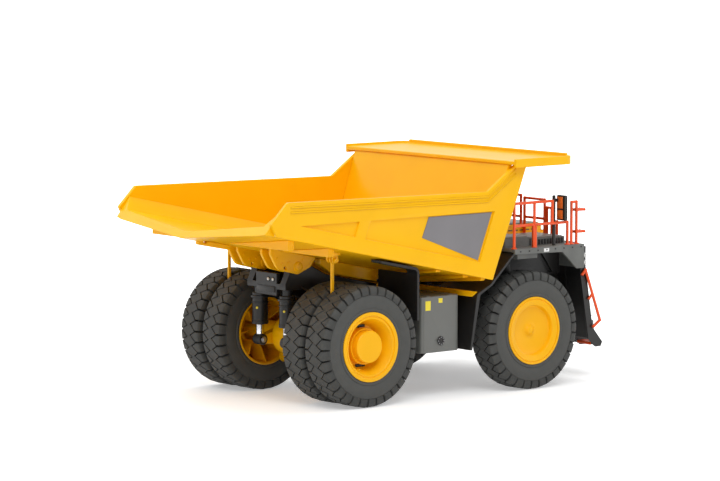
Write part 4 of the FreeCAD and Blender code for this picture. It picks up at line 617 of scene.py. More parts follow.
# ------------------------------------------------------------------ wheels
@dataclass
class Wheels:
    """Tyres with their tread, and the rims they sit on."""

    half_width: float = 6.8
    lugs: int = 33
    lug_depth: float = 2.4
    groove: float = 0.46
    shoulder_depth: float = 1.1
    chamfer: float = 0.12
    diamond_left: float = -3.6
    diamond_right: float = 4.9
    diamond_top: float = -0.3
    diamond_foot: float = 1.4
    tread_base: float = 23.2
    bead: float = 14.9
    front_y: float = 45.2
    twin: float = 7.7

    def build(self) -> None:
        """Make every wheel."""
        for side, name in SIDES:
            self.tyre(f"tyre_front_{name}", f"wheel_front_{name}", FRONT_X,
                      [self.front_y * side], Finish.TYRE_FRONT)
            self.tyre(f"tyres_rear_{name}", f"wheels_rear_{name}", REAR_X,
                      [across * side for across in (TWIN_Y - self.twin, TWIN_Y + self.twin)],
                      Finish.TYRE_REAR)
            self.rim_rear(name, side)
            self.rim_front(name, side)

    def tyre(self, node: str, body: str, axle_x: float, centres: Sequence[float],
             finish: Finish) -> None:
        """One tyre or a twin pair, as a single piece with real blocks on its tread."""
        shape = Shape()
        for centre in centres:
            spot = (axle_x, centre, AXLE_Z)
            self.carcass(shape, spot)
            self.tread(shape, spot, 1 if node.endswith("right") else -1)
        shape.mount(f"{node}_tread", finish, body, 32.0, (node,))

    def carcass(self, shape: Shape, spot: Point) -> None:
        """Casing under the tread, with its sidewalls and beads."""
        half, base, bead = self.half_width, self.tread_base, self.bead
        wall = [(half - 1.3, bead - 0.3), (half - 0.5, bead), (half - 0.15, bead + 0.6),
                (half - 0.15, bead + 1.3), (half - 0.45, bead + 1.6), (half - 0.2, bead + 2.6),
                (half, bead + 4.2), (half - 0.05, bead + 6.0), (half - 0.25, bead + 7.2),
                (half - 1.2, base - 0.4), (half - 2.2, base)]
        outline = wall + [(-across, radius) for across, radius in reversed(wall)]
        shape.lathe(outline, spot, ACROSS, self.lugs * 4, closed=True)

    def blocks(self) -> list[Outline]:
        """Outlines of one pitch of the tread laid flat, as (across, along) corners."""
        pitch = self.pitch()
        reach = self.section()[-1][0]
        left, right = self.diamond_left, self.diamond_right
        drop = (0.92 * pitch) / (right - left)
        join = -drop * (self.diamond_top - left)
        foot = -drop * (self.diamond_foot - left)
        mouth = 0.08 * pitch
        diamond = [(left, 0.0), (self.diamond_top, join), (self.diamond_foot, foot),
                   (right, mouth), (self.diamond_foot, foot + pitch),
                   (self.diamond_top, join + pitch)]
        inner = [(-reach, 0.0), (left, 0.0), (self.diamond_top, join), (left, -pitch),
                 (-reach, -pitch)]
        outer = [(reach, mouth), (right, mouth), (self.diamond_foot, foot),
                 (right, mouth - pitch), (reach, mouth - pitch)]
        return [diamond, inner, outer]

    def pitch(self) -> float:
        """Length of one pitch round the tread."""
        return math.tau * TYRE_RADIUS / self.lugs

    def section(self) -> list[tuple[float, float, float]]:
        """Half of the tyre's section as (run over the surface, across, radius)."""
        points = ((0.0, TYRE_RADIUS), (4.6, TYRE_RADIUS), (5.8, TYRE_RADIUS - 0.2),
                  (6.45, TYRE_RADIUS - 0.9), (self.half_width, TYRE_RADIUS - 2.3),
                  (self.half_width, TYRE_RADIUS - 4.1))
        run, out = 0.0, [(0.0, *points[0])]
        for first, last in zip(points, points[1:]):
            run += math.dist(first, last)
            out.append((run, *last))
        return out

    def flat_pitch(self) -> bmesh.types.BMesh:
        """One pitch of the tread laid flat, with its blocks raised and cut where it bends."""
        flat = bmesh.new()
        faces = [flat.faces.new([flat.verts.new((across, along, 0.0))
                                 for across, along in outline]) for outline in self.blocks()]
        edge_runs = [run for run, _, _ in self.section()[1:-1]]
        reach = self.section()[-1][0]
        for face in faces:
            for vert in self.inset(flat, face, self.groove):
                share = max(0.0, (abs(vert.co.x) - edge_runs[1]) / (reach - edge_runs[1]))
                vert.co.z = -self.lug_depth + (self.lug_depth - self.shoulder_depth) * share
            for vert in self.inset(flat, face, self.chamfer):
                vert.co.z = -self.chamfer
        cuts = [((run * side, 0.0, 0.0), (1.0, 0.0, 0.0)) for run in edge_runs
                for side in (-1, 1)]
        cuts += [((0.0, self.pitch() * number / 3, 0.0), (0.0, 1.0, 0.0))
                 for number in range(-3, 3)]
        for place, normal in cuts:
            bmesh.ops.bisect_plane(flat, geom=[*flat.verts, *flat.edges, *flat.faces],
                                   plane_co=place, plane_no=normal, dist=1e-4)
        return flat

    @staticmethod
    def inset(flat: bmesh.types.BMesh, face: bmesh.types.BMFace, width: float) -> Verts:
        """Draw a face in by a width and return the corners that it had before."""
        corners = list(face.verts)
        bmesh.ops.inset_region(flat, faces=[face], use_boundary=True, use_even_offset=True,
                               thickness=width)
        return corners

    def tread(self, shape: Shape, spot: Point, hand: int) -> None:
        """Cut blocks round the whole tread: a row of diamonds between two rows of lugs.

        Args:
            shape: The tyre's mesh.
            spot: The tyre's middle.
            hand: 1 on the right, -1 on the left, where the tread is mirrored.
        """
        flat = self.flat_pitch()
        known = {vert: shape.mesh.verts.new(self.wrap(vert.co, spot, hand))
                 for vert in flat.verts}
        made = set(known.values())
        for face in flat.faces:
            shape.mesh.faces.new([known[vert] for vert in face.verts])
        flat.free()
        before = set(shape.mesh.verts) - made
        shape.repeat(made, spot, ACROSS, self.lugs)
        ring = [vert for vert in shape.mesh.verts if vert not in before]
        bmesh.ops.remove_doubles(shape.mesh, verts=ring, dist=0.004)
        rims = [edge for edge in shape.mesh.edges if len(edge.link_faces) == 1
                and not before.intersection(edge.verts)]
        # Each pitch has one doubled face. It is deleted, so that the mesh closes. The short
        # groove between one diamond and the next is not cut.
        stray = {face for edge in rims if abs(edge.verts[0].co.y - spot[1]) < 5.0
                 for face in edge.link_faces}
        bmesh.ops.delete(shape.mesh, geom=list(stray), context="FACES")
        rims = [edge for edge in rims if edge.is_valid and len(edge.link_faces) == 1]
        bmesh.ops.bridge_loops(shape.mesh, edges=rims)

    def wrap(self, place: Vector, spot: Point, hand: int) -> Point:
        """Lay a point of the flat tread (across, along, height) on the tyre."""
        section = self.section()
        run, side = abs(place.x), math.copysign(1.0, place.x)
        for first, last in zip(section, section[1:]):
            if run <= last[0] + 1e-6:
                break
        share = (run - first[0]) / (last[0] - first[0])
        across = first[1] + (last[1] - first[1]) * share
        radius = first[2] + (last[2] - first[2]) * share
        slopes = []
        for bend in (first[0], last[0]):
            around = [(one, two) for one, two in zip(section, section[1:])
                      if abs(one[0] - bend) < 1e-6 or abs(two[0] - bend) < 1e-6]
            slopes.append(sum(math.atan2(one[2] - two[2], two[1] - one[1])
                              for one, two in around) / len(around))
        lean = slopes[0] + (slopes[1] - slopes[0]) * share
        across += place.z * math.sin(lean)
        radius += place.z * math.cos(lean)
        angle = place.y / TYRE_RADIUS
        return (spot[0] - radius * math.cos(angle), spot[1] - across * side * hand,
                spot[2] + radius * math.sin(angle))

    def rim_rear(self, name: str, side: int) -> None:
        """Both rims of a twin wheel as one casting, with a deep well round the hub."""
        shape = Shape()
        spot = (REAR_X, TWIN_Y * side, AXLE_Z)
        outline = [(-14.5, 14.9), (14.5, 14.9), (14.5, 13.5), (14.35, 13.3), (13.95, 13.15),
                   (13.95, 12.85), (14.15, 12.7), (14.15, 12.15), (13.9, 11.9), (7.6, 9.7),
                   (6.9, 9.2), (6.7, 8.7), (6.7, 7.8), (10.3, 7.8), (10.5, 7.6), (10.5, 7.15),
                   (10.3, 6.9), (13.3, 6.9), (13.6, 6.6), (13.6, 0.0), (12.1, 0.0),
                   (12.1, 3.1), (3.5, 3.1), (3.5, 13.7), (-13.6, 13.7), (-14.5, 14.3)]
        shape.lathe(outline, spot, (0.0, side, 0.0), 72, closed=True)
        shape.mount(f"rim_rear_{name}_well", Finish.RIM, f"wheels_rear_{name}", 30.0,
                    (f"rim_rear_{name}",))
        # Painted shade: black blocks at the hub's root stand where the hand holes show only shade.
        hole_shadows = Shape()
        for turn in (-1, 1):
            middle = AXLE_Z + 8.45 * turn
            hole_shadows.block((REAR_X - 2.6, spot[1] + 6.6 * side, middle - 0.62),
                        (REAR_X + 2.6, spot[1] + 7.3 * side, middle + 0.62))
        hole_shadows.bevel(0.3, 3, 60.0)
        hole_shadows.mount(f"hand_hole_shadows_{name}", Finish.BLACK, f"wheels_rear_{name}")

    def rim_front(self, name: str, side: int) -> None:
        """A front rim: a broad ring round a sunk dish with a nub at its middle."""
        shape = Shape()
        spot = (FRONT_X, self.front_y * side, AXLE_Z)
        outline = [(-6.8, 14.9), (6.8, 14.9), (6.8, 14.3), (6.65, 14.1), (6.35, 14.0),
                   (6.35, 13.75), (6.6, 13.55), (6.25, 11.5), (6.1, 11.15), (5.8, 10.95),
                   (4.6, 10.85), (4.2, 10.6), (4.05, 10.2), (3.8, 8.6), (3.4, 6.4), (3.15, 4.4),
                   (3.1, 3.0), (3.4, 2.35), (4.0, 1.9), (4.45, 1.3), (4.6, 0.6), (4.62, 0.0),
                   (2.5, 0.0), (2.5, 3.1), (-6.8, 3.1), (-6.8, 5.45), (2.4, 6.6), (2.4, 13.7),
                   (-5.9, 13.7), (-6.8, 14.3)]
        shape.lathe(outline, spot, (0.0, side, 0.0), 72, closed=True)
        shape.mount(f"rim_front_{name}_dish", Finish.RIM, f"wheel_front_{name}", 34.0,
                    (f"rim_front_{name}",))


# ------------------------------------------------------------------ body skins
@dataclass(frozen=True)
class Group:
    """Nodes of one body and finish, each with the round on its edges."""

    body: str
    finish: Finish
    rounds: dict[str, float]

    def dress(self) -> None:
        """Dress every node of the group."""
        for node, width in self.rounds.items():
            Skin(node, self.body, self.finish, width).dress()


SKINS = (
    Skin("bed_floor", "bed", Finish.YELLOW, 0.35, thinner_lip=1.1),
    Skin("handrails", "chassis", Finish.ORANGE, 0.0, smooth=40.0),
    Group("bed", Finish.YELLOW, {
        "bed_side_right": 0.28, "bed_side_left": 0.28, "bed_headboard": 0.3, "bed_canopy": 0.35,
        "bed_beams": 0.3, "rock_ejectors": 0.14}),
    Skin("bed_side_panels", "bed", Finish.PANEL, 0.06),
    Group("chassis", Finish.BLACK, {
        "frame_rails": 0.3, "rear_struts": 0.2, "front_axle": 0.3, "engine_block": 0.4,
        "rear_mudguards": 0.2, "front_mudguards": 0.2, "grille": 0.12, "bumper": 0.35,
        "stairs": 0.12, "mirrors": 0.2}),
    Group("chassis", Finish.YELLOW, {
        "rear_axle": 0.4, "cab_shell": 0.3, "cab_roof": 0.45, "cab_door": 0.25, "hood": 0.35}),
    Skin("deck", "chassis", Finish.DECK, 0.25),
    Skin("cab_glass", "chassis", Finish.GLASS, 0.05),
    Skin("cab_inside", "chassis", Finish.SEAT, 0.6),
    Skin("headlamps", "chassis", Finish.LAMP, 0.2),
    Group("chassis", Finish.GREY, {"fuel_tank": 0.45, "hydraulic_tank": 0.45}),
    *(Skin(f"{part}_{name}", f"{part}_{name}", finish, width)
      for part, finish, width in (("knuckle", Finish.BLACK, 0.2),
                                  ("hoist_barrel", Finish.YELLOW, 0.2),
                                  ("hoist_rod", Finish.CHROME, 0.12))
      for _, name in SIDES),
    Skin("tie_rod", "tie_rod", Finish.BLACK, 0.2),
)


# ------------------------------------------------------------------ fittings
@dataclass
class RimFittings:
    """Ribs inside the rear drums and the valves of all rims."""

    drum_end: float = 14.0
    drum_floor: float = 4.0
    drum_radius: float = 13.5
    hub_radius: float = 4.6
    valve_y: float = 50.9
    ribs: int = 8

    def build(self) -> None:
        """Make the ribs and valves of every wheel."""
        for side, name in SIDES:
            self.drum(side, name)
            self.valves(side, name)

    def drum(self, side: int, name: str) -> None:
        """Thin radial ribs in the open inner end of a rear rim."""
        shape = Shape()
        spot = (REAR_X, TWIN_Y * side, AXLE_Z)
        inner = (TWIN_Y - self.drum_end) * side
        deep = (TWIN_Y - self.drum_floor) * side
        rib = shape.block((REAR_X - 0.3, inner, AXLE_Z + self.hub_radius + 1.5),
                          (REAR_X + 0.3, deep, AXLE_Z + self.drum_radius))
        for vert in rib:
            if abs(vert.co.y - inner) < 0.1 and vert.co.z < AXLE_Z + self.drum_radius - 1.0:
                vert.co.y += (deep - inner) * 0.45
        shape.repeat(rib, spot, ACROSS, self.ribs)
        band = [self.hub_radius + 1.0, self.hub_radius + 2.4]
        shape.lathe([(0.0, band[0]), (0.0, band[1]), (1.2, band[1]), (1.2, band[0])],
                    (REAR_X, deep - 0.6, AXLE_Z), ACROSS, 40, closed=True)
        shape.bevel(0.08, 1)
        shape.mount(f"rear_drum_ribs_{name}", Finish.RIM, f"wheels_rear_{name}")

    def valves(self, side: int, name: str) -> None:
        """A small valve stem on each rim."""
        for row, axle_x, reach in (("rear", REAR_X, 11.9), ("front", FRONT_X, 12.0)):
            shape = Shape()
            spot = (axle_x - reach * 0.6, (self.valve_y - 1.4) * side, AXLE_Z - reach * 0.8)
            end = (spot[0] + 0.5, spot[1] + 1.2 * side, spot[2] + 0.6)
            shape.rod(spot, end, 0.26, 0.2, sides=10)
            shape.rod(end, (end[0] + 0.1, end[1] + 0.3 * side, end[2] + 0.12), 0.24, sides=10)
            body = f"wheels_rear_{name}" if row == "rear" else f"wheel_front_{name}"
            shape.mount(f"valve_{row}_{name}", Finish.RIM, body)


@dataclass
class StrutFittings:
    """Bright rods, glands, eyes and tail lamps round the two rear suspension cylinders."""

    along: float = -57.7
    spread: float = 9.5
    barrel: float = 3.4
    low: float = 32.0
    eye_z: float = 24.7
    eye_half: float = 2.5
    bar_rear: float = -61.7
    lamp_z: float = 52.2
    lamp_ys: tuple[float, float] = (-1.6, -4.8)

    def build(self) -> None:
        """Make what sits on both cylinders and on the lamp bar."""
        self.rods()
        self.barrels()
        self.eyes()
        self.lamps()

    def rods(self) -> None:
        """Bright sleeve over each rod."""
        shape = Shape()
        for side in (-1, 1):
            shape.lathe([(0.0, 1.55), (0.0, 1.75), (4.6, 1.75), (4.9, 1.6)],
                        (self.along, self.spread * side, self.low - 4.9), UP, 32, closed=True)
        shape.mount("strut_rods", Finish.CHROME)

    def barrels(self) -> None:
        """Gland rings, the flange under the collar and a small pale disc of painted highlight on
        each barrel.
        """
        shape = Shape()
        outer = self.barrel
        for side in (-1, 1):
            spot = (self.along, self.spread * side, self.low)
            for base, tall, extra in ((-0.5, 1.5, 0.25), (8.6, 0.7, 0.3), (11.0, 1.0, 0.7)):
                shape.lathe([(base, outer - 0.4), (base, outer + extra - 0.15),
                             (base + 0.15, outer + extra), (base + tall - 0.15, outer + extra),
                             (base + tall, outer + extra - 0.15), (base + tall, outer - 0.4)],
                            spot, UP, 40, closed=True)
        shape.mount("strut_rings", Finish.BLACK)
        # Painted highlight: a pale disc on the side of each barrel that faces the camera and key
        # lamp.
        glints = Shape()
        for side in (-1, 1):
            start = (self.along - 3.0, self.spread * side - 1.9, self.low + 6.8)
            end = (start[0] - 0.35, start[1] - 0.22, start[2])
            glints.rod(start, end, 0.5, sides=16)
        glints.mount("strut_glints", Finish.LABEL_AND_GLINT)

    def eyes(self) -> None:
        """Round eyes at the foot of each rod with a bolt through them."""
        shape, bolts = Shape(), Shape()
        wide = self.eye_half * 2
        for side in (-1, 1):
            centre = (self.along, self.spread * side - self.eye_half, self.eye_z)
            shape.lathe([(0.0, 0.8), (0.0, 2.1), (0.3, 2.4), (wide - 0.3, 2.4), (wide, 2.1),
                         (wide, 0.8)], centre, ACROSS, 32, closed=True)
            for end in (-1, 1):
                face = (self.along, self.spread * side + self.eye_half * end, self.eye_z)
                bolts.stud(face, 0.35 * end, 1.35, sides=24)
                bolts.stud(face, 0.9 * end, 0.95, sides=6)
        bolts.bevel(0.08, 1, 40.0)
        shape.mount("strut_eyes", Finish.BLACK)
        bolts.mount("strut_bolts", Finish.STEEL)

    def lamps(self) -> None:
        """Two small round tail lamps in their rings, and a bare plate below them."""
        lens, rings = Shape(), Shape()
        astern = (-1.0, 0.0, 0.0)
        for across in self.lamp_ys:
            centre = (self.bar_rear, across, self.lamp_z)
            lens.lathe([(0.0, 0.7), (0.35, 0.62), (0.55, 0.35), (0.6, 0.0)], centre, astern, 24)
            rings.ring(centre, astern, 0.9, 0.22, 28, 10)
        lens.mount("tail_lenses", Finish.LAMP)
        rings.block((self.bar_rear - 0.35, -6.2, 46.6), (self.bar_rear + 0.1, 6.2, 49.2))
        rings.bevel(0.12, 2, 60.0)
        rings.mount("tail_lamp_rings", Finish.BLACK)


@dataclass
class TankFittings:
    """Filler cap, blank labels and seams of the side tanks."""

    rear: float = -13.2
    front: float = 8.3
    low: float = 20.0
    high: float = 44.5
    outer: float = 46.0
    cap: tuple[float, float] = (-2.5, 25.0)

    def build(self) -> None:
        """Dress both tanks."""
        for side, name in ((-1, "fuel"), (1, "hydraulic")):
            self.cap_ring(side, name)
            self.seams(side, name)
        self.labels()

    def cap_ring(self, side: int, name: str) -> None:
        """Ring of small studs and a domed centre on the filler cap."""
        centre = (self.cap[0], (self.outer + 0.5) * side, self.cap[1])
        axis = (0.0, side, 0.0)
        shape = Shape()
        shape.lathe([(0.0, 2.0), (0.25, 1.9), (0.25, 1.1), (0.1, 1.0), (0.1, 0.5), (0.4, 0.0)],
                    centre, axis, 40)
        shape.mount(f"cap_{name}", Finish.BLACK)
        studs = Shape()
        spot = (centre[0], centre[1], centre[2] + 1.5)
        studs.repeat(studs.stud(spot, 0.42 * side, 0.26, 0.18, 8), centre, ACROSS, 8)
        studs.mount(f"cap_studs_{name}", Finish.STEEL)

    def seams(self, side: int, name: str) -> None:
        """Folded seams near the ends of the outer face, and two strips across the top."""
        shape = Shape()
        face = self.outer * side
        for along in (self.rear + 1.6, self.front - 1.6):
            shape.block((along - 0.12, face - 0.1 * side, self.low + 0.8),
                        (along + 0.12, face + 0.14 * side, self.high - 0.8))
        for along in (self.rear + 4.6, self.front - 4.6):
            shape.block((along - 0.9, face - 21.4 * side, self.high - 0.1),
                        (along + 0.9, face - 0.6 * side, self.high + 0.25))
        shape.bevel(0.06, 1, 60.0)
        shape.mount(f"tank_seams_{name}", Finish.GREY)

    def labels(self) -> None:
        """Two bare labels on the right tank."""
        shape = Shape()
        face = -self.outer
        for rear, front, low, high in ((-10.8, -7.9, 38.5, 42.6), (-3.4, -1.2, 41.4, 43.4)):
            shape.block((rear, face - 0.06, low), (front, face + 0.05, high))
        shape.mount("bare_labels", Finish.LABEL_AND_GLINT)


@dataclass
class BedFittings:
    """Caps of the bed's pivot pins and ejector pins, and the pivot plates' bolts."""

    pivot: tuple[float, float] = (-56.3, 58.1)
    ears: tuple[float, float] = (7.6, 15.4)
    ejector: tuple[float, float] = (-54.2, 62.8)
    ejector_half: float = 2.7

    def build(self) -> None:
        """Make the pins' caps and the plates' bolts."""
        caps, bolts = Shape(), Shape()
        for side in (-1, 1):
            for face, end in zip(self.ears, (-1, 1)):
                start = (self.pivot[0], face * side, self.pivot[1])
                run = end * side
                caps.lathe([(0.0, 2.3), (0.35, 2.2), (0.5, 1.9), (0.5, 1.3), (0.75, 1.2),
                            (0.75, 0.0)], start, (0.0, run, 0.0), 32)
                for along, up in ((-5.2, 2.2), (-8.6, 2.0), (2.8, 3.2), (-11.6, 4.4)):
                    spot = (self.pivot[0] + along, start[1], self.pivot[1] + up)
                    bolts.stud(spot, 0.4 * run, 0.5, sides=6)
            for end in (-side, side):
                spot = (self.ejector[0], TWIN_Y * side + self.ejector_half * end, self.ejector[1])
                caps.stud(spot, 0.55 * end, 1.0, 0.9, 20)
        caps.mount("bed_pin_caps", Finish.YELLOW, "bed")
        bolts.bevel(0.06, 1, 40.0)
        bolts.mount("bed_plate_bolts", Finish.YELLOW, "bed")


@dataclass
class DeckFittings:
    """Rail feet, lids, louvres, bolts, treads, black sheets of painted shade and mirror panes
    round the deck.
    """

    edge: float = 52.0
    rail_y: float = 50.2
    front_rail_x: float = 74.8
    stair: tuple[float, float] = (39.4, 48.6)
    sheet: float = 0.6
    hood_side: float = 12.9
    bolts: int = 8
    bolt_pitch: float = 5.1

    def build(self) -> None:
        """Make everything on the deck."""
        self.rail_feet()
        self.hatches()
        self.plates()
        self.steps()
        self.shadow_fill_sheets()
        self.mirror_glass()

    def rail_feet(self) -> None:
        """Round foot under each post of the rails."""
        shape = Shape()
        posts = [(along, -self.rail_y) for along in (36.3, 48.1, 67.6)]
        posts += [(along, self.rail_y * side) for along in (70.0, 73.0) for side in (-1, 1)]
        posts += [(self.front_rail_x, across) for across in (-27.3, -13.8, -32.0, -28.9, -35.5)]
        for along, across in posts:
            shape.lathe([(0.0, 1.25), (0.3, 1.25), (0.45, 1.1), (0.5, 0.6)],
                        (along, across, DECK_TOP), UP, 24)
        shape.mount("rail_feet", Finish.ORANGE)

    def hatches(self) -> None:
        """Lids and louvres of the lockers and of the box along the hood."""
        lids, slits = Shape(), Shape()
        for rear, front, top in ((36.6, 50.8, 66.5), (52.0, 71.6, 65.6)):
            lids.block((rear + 0.7, -43.2, top - 0.05), (front - 0.7, -24.8, top + 0.35))
        for rear, front in ((41.0, 62.0), (63.0, 85.0)):
            lids.block((rear, -11.6, 68.2), (front, 11.6, 68.7))
        lids.bevel(0.15, 2, 60.0)
        lids.mount("locker_lids", Finish.GREY)
        for number in range(9):
            along = 56.0 + number * 1.7
            slits.block((along, -44.35, 62.9), (along + 0.9, -43.9, 65.0))
        for number in range(12):
            along = 42.0 + number * 3.4
            slits.pair((along, self.hood_side, 65.6), (along + 2.2, self.hood_side + 0.35, 66.0))
        slits.mount("louvres", Finish.BLACK)

    def plates(self) -> None:
        """A bare plate on the deck's side, and bolts along its edge."""
        plate, bolts = Shape(), Shape()
        plate.block((52.2, -self.edge - 0.06, 60.4), (55.2, -self.edge + 0.05, 61.9))
        plate.mount("bare_plate", Finish.PLATE)
        for side in (-1, 1):
            for number in range(self.bolts):
                spot = (38.5 + number * self.bolt_pitch, self.edge * side, 61.3)
                bolts.stud(spot, 0.25 * side, 0.32, sides=8)
        bolts.mount("deck_bolts", Finish.BLACK)

    def shadow_fill_sheets(self) -> None:
        """Black sheets of painted shade behind the stairs, along the hood inside each arch and
        beside the radiator.
        """
        shape = Shape()
        under, ahead, beside = 61.0, 89.0, 21.1
        for side in (-1, 1):
            shape.prism([(76.35, under), (76.35, 49.0), (81.35, 19.7),
                         (81.35 + self.sheet, 19.7), (76.35 + self.sheet, 49.1),
                         (76.35 + self.sheet, under)], *(edge * side for edge in self.stair))
            shape.prism([(36.0, under), (36.0, 44.0), (58.0, 33.0), (ahead, 27.0),
                         (ahead, under)], beside * side, (beside + self.sheet) * side)
        shape.pair((ahead - self.sheet, beside + 0.1, 25.0), (ahead, 33.0, under))
        shape.bevel(0.08, 1, 60.0)
        shape.mount("shadow_fill_sheets", Finish.BLACK)

    def steps(self) -> None:
        """Orange nosing on the bottom tread of each stair."""
        shape = Shape()
        inner, outer = self.stair[0] + 0.2, self.stair[1] - 0.2
        shape.pair((83.6, inner, 17.25), (87.9, outer, 17.75))
        shape.pair((83.5, inner, 16.4), (84.0, outer, 17.6))
        shape.bevel(0.12, 2, 60.0)
        shape.mount("bottom_treads", Finish.ORANGE)

    def mirror_glass(self) -> None:
        """Two panes in the back of each mirror."""
        glass = Shape()
        for side, rear in ((-1, 63.3), (1, 78.9)):
            for base, top in ((74.1, 78.0), (78.7, 83.9)):
                glass.block((rear - 0.12, 48.1 * side, base), (rear + 0.1, 51.8 * side, top))
        glass.bevel(0.08, 2, 60.0)
        glass.mount("mirror_panes", Finish.PANE)


@dataclass
class CabFittings:
    """Steering wheel, wiper, handle, seals and roof lamps of the cab."""

    rear: float = 41.3
    front: float = 71.3
    inner: float = 14.0
    outer: float = 49.0
    high: float = 95.5

    def build(self) -> None:
        """Make the cab's small parts."""
        self.wheel()
        self.seals()
        self.outside()

    def wheel(self) -> None:
        """Steering wheel on its column."""
        shape = Shape()
        middle = (self.inner + self.outer) / 2
        hub = Vector((self.front - 8.4, middle, DECK_TOP + 15.6))
        axis = Vector((-0.6, 0.0, 0.8)).normalized()
        shape.ring(hub, axis, 3.0, 0.32, 36, 10)
        shape.rod(hub - axis * 5.5, hub, 0.5, 0.45, 12)
        shape.rod(hub - axis * 0.2, hub + axis * 0.3, 0.9, 0.7, 20)
        side = Vector(ACROSS)
        for spoke in (side, -side, axis.cross(side)):
            shape.rod(hub, hub + spoke * 2.9, 0.24, sides=8)
        shape.mount("steering_wheel", Finish.SEAT)

    def seals(self) -> None:
        """Black rubber beads round the window openings."""
        shape = Shape()
        sill, head = DECK_TOP + 14.0, self.high - 3.0
        faces = [("x", face, self.inner + 3.0, self.outer - 3.0, sill, head)
                 for face in (self.rear, self.front)]
        faces += [("y", self.inner, self.rear + 4.0, self.rear + 13.0, sill, head),
                  ("y", self.inner, self.rear + 16.0, self.front - 4.0, sill, head),
                  ("y", self.outer, self.rear + 4.0, self.rear + 13.0, sill, head),
                  ("y", self.outer, self.rear + 17.5, self.front - 5.0, DECK_TOP + 12.0,
                   self.high - 5.0)]
        for axis, face, start, end, base, top in faces:
            corners = [(start, base), (end, base), (end, top), (start, top)]
            for first, last in zip(corners, corners[1:] + corners[:1]):
                ends = [(face, spot[0], spot[1]) if axis == "x" else (spot[0], face, spot[1])
                        for spot in (first, last)]
                shape.rod(ends[0], ends[1], 0.28, sides=8)
        shape.mount("window_seals", Finish.SEAT)

    def outside(self) -> None:
        """Wiper, door handle and roof beacons."""
        shape = Shape()
        middle = (self.inner + self.outer) / 2
        face = self.front + 0.45
        shape.rod((face, middle - 5.0, DECK_TOP + 12.6), (face, middle + 3.5, DECK_TOP + 24.0),
                  0.28, sides=8)
        shape.rod((face - 0.1, middle + 3.5, DECK_TOP + 17.0),
                  (face - 0.1, middle + 3.5, self.high - 4.5), 0.22, sides=8)
        shape.rod((self.front - 0.2, middle - 5.0, DECK_TOP + 12.6),
                  (face + 0.2, middle - 5.0, DECK_TOP + 12.6), 0.6, sides=12)
        shape.block((self.front - 8.0, self.outer, DECK_TOP + 8.6),
                    (self.front - 4.6, self.outer + 0.5, DECK_TOP + 9.6))
        shape.bevel(0.08, 1, 60.0)
        shape.mount("wiper_and_handle", Finish.SEAT)
        lamps = Shape()
        for across in (20.0, 43.0):
            lamps.lathe([(0.0, 1.1), (1.0, 1.1), (1.5, 0.8), (1.7, 0.0)],
                        (self.front - 3.0, across, self.high + 1.4), UP, 24)
        lamps.mount("roof_beacons", Finish.AMBER)


@dataclass
class FrontFittings:
    """Lamp rings, grille mesh, tow eyes and latches at the front."""

    face: float = 105.3
    hood_face: float = 91.3
    lamp_z: float = 19.2
    deck_lamp: tuple[float, float] = (76.9, 50.8)
    bars: int = 17
    bar_pitch: float = 2.1

    def build(self) -> None:
        """Make the front's small parts."""
        rings, tow = Shape(), Shape()
        for side in (-1, 1):
            for across in (12.0, 18.0):
                rings.ring((self.face + 0.1, across * side, self.lamp_z), ALONG, 2.35, 0.22, 36, 8)
            for up in (57.2, 54.0):
                rings.ring((self.deck_lamp[0], self.deck_lamp[1] * side, up), ALONG, 1.15, 0.15,
                           28, 8)
            tow.ring((self.face - 0.2, 25.0 * side, 17.6), ACROSS, 1.1, 0.45, 28, 10)
        rings.mount("lamp_rings", Finish.STEEL)
        tow.mount("tow_eyes", Finish.BLACK)
        mesh = Shape()
        behind = self.hood_face - 1.25
        for number in range(self.bars):
            across = (number - (self.bars - 1) / 2) * self.bar_pitch
            mesh.rod((behind, across, 28.2), (behind, across, 58.2), 0.16, sides=6)
        mesh.mount("grille_bars", Finish.STEEL)
        latches = Shape()
        for up in (31.0, 41.0, 51.0):
            latches.pair((86.0, 20.9, up), (88.4, 21.45, up + 1.4))
        latches.bevel(0.15, 2, 60.0)
        latches.mount("hood_latches", Finish.BLACK)


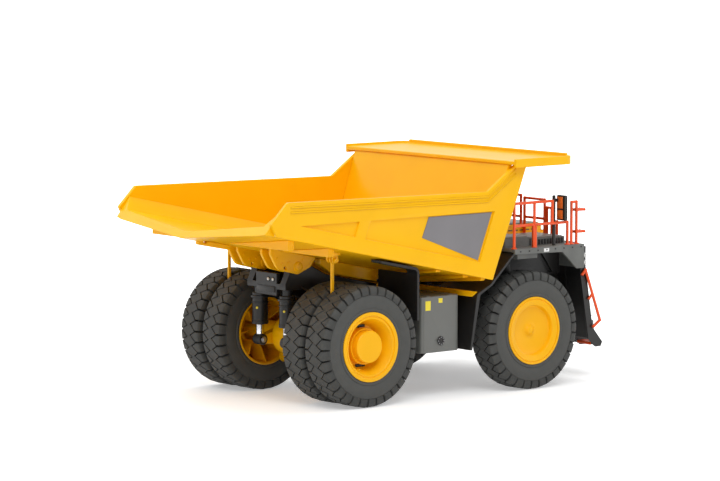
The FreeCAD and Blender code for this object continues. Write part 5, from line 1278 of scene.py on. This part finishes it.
# ------------------------------------------------------------------ studio
@dataclass
class Studio:
    """Floor, lamps and camera."""

    target: Point = (-9.52, 0.0, 65.27)
    eye: Point = (-1048.19, -1270.16, 230.66)
    lens: float = 187.93
    floor_reach: float = 4.0
    floor_lift: float = 0.35
    shadow_near: float = 180.0
    shadow_far: float = 600.0
    world_level: float = 0.42
    aim: Point = (0.0, 0.0, 0.04)

    def build(self) -> None:
        """Set up the whole studio."""
        self.floor()
        self.world()
        for row in (("key", (-1.1, -1.5, 2.0), 1.5, 31.0), ("fill", (1.8, -1.2, 1.0), 1.6, 9.0),
                    ("top", (0.1, 0.3, 2.4), 1.8, 24.0), ("back", (-0.6, 1.8, 1.2), 1.4, 9.0)):
            self.lamp(*row)
        self.camera()
        bpy.context.scene.view_settings.view_transform = "Standard"

    def floor(self) -> None:
        """Pale floor that is white to the camera where no shadow falls."""
        mesh = bmesh.new()
        bmesh.ops.create_grid(mesh, x_segments=1, y_segments=1, size=self.floor_reach)
        bmesh.ops.translate(mesh, verts=mesh.verts, vec=(0.0, 0.0, -0.00005))
        data = bpy.data.meshes.new("studio_floor")
        mesh.to_mesh(data)
        mesh.free()
        floor = stand("studio_floor", data)
        nodes = Surface("studio_floor")
        point, along, across, _ = nodes.place()
        tone = nodes.noise(point, 0.01)
        far = ((along * along + across * across) ** 0.5).ramp(self.shadow_near, self.shadow_far)
        lift = nodes.seen() * (far * (1 - self.floor_lift) + self.floor_lift)
        glow = nodes.blend(lift, (0.0, 0.0, 0.0), (1.0, 1.0, 1.0))
        nodes.surface(Base_Color=nodes.blend(tone, (0.93, 0.93, 0.93), (0.95, 0.95, 0.95)),
                      Roughness=0.55, Specular_IOR_Level=0.2, Emission_Color=glow,
                      Emission_Strength=1.0)
        data.materials.append(nodes.material)

    def world(self) -> None:
        """Even grey light, seen as white by the camera and in reflections."""
        world = bpy.data.worlds.new("studio")
        bpy.context.scene.world = world
        nodes = NodeTree(world)
        level = nodes.add("ShaderNodeMapRange", {}, {0: nodes.seen(), 3: self.world_level, 4: 1.0})
        sky = nodes.add("ShaderNodeBackground", {}, {"Strength": level, "Color": (1.0,) * 4})
        output = nodes.tree.nodes.new("ShaderNodeOutputWorld")
        nodes.plug(output.inputs[0], sky)

    def lamp(self, name: str, spot: Point, size: float, power: float) -> None:
        """One square softbox that faces the model."""
        light = bpy.data.lights.new(name, "AREA")
        light.shape = "SQUARE"
        light.size = size
        light.energy = power
        lamp = stand(name, light)
        lamp.location = spot
        run = Vector(self.aim) - Vector(spot)
        lamp.rotation_euler = run.to_track_quat("-Z", "Y").to_euler()

    def camera(self) -> None:
        """Long lens from behind the model's right."""
        data = bpy.data.cameras.new("camera")
        data.lens = self.lens
        data.sensor_width = 36.0
        data.clip_start = 0.05
        data.clip_end = 50.0
        camera = stand("camera", data)
        eye, target = Vector(self.eye) * MM, Vector(self.target) * MM
        camera.location = eye
        camera.rotation_euler = (target - eye).to_track_quat("-Z", "Y").to_euler()
        bpy.context.scene.camera = camera


def main() -> None:
    """Build every piece."""
    logging.basicConfig(level=logging.INFO, format="%(message)s")
    Studio().build()
    Wheels().build()
    for skin in SKINS:
        skin.dress()
    for part in (RimFittings, StrutFittings, TankFittings, BedFittings, DeckFittings,
                 CabFittings, FrontFittings):
        part().build()


if __name__ == "__main__":
    main()
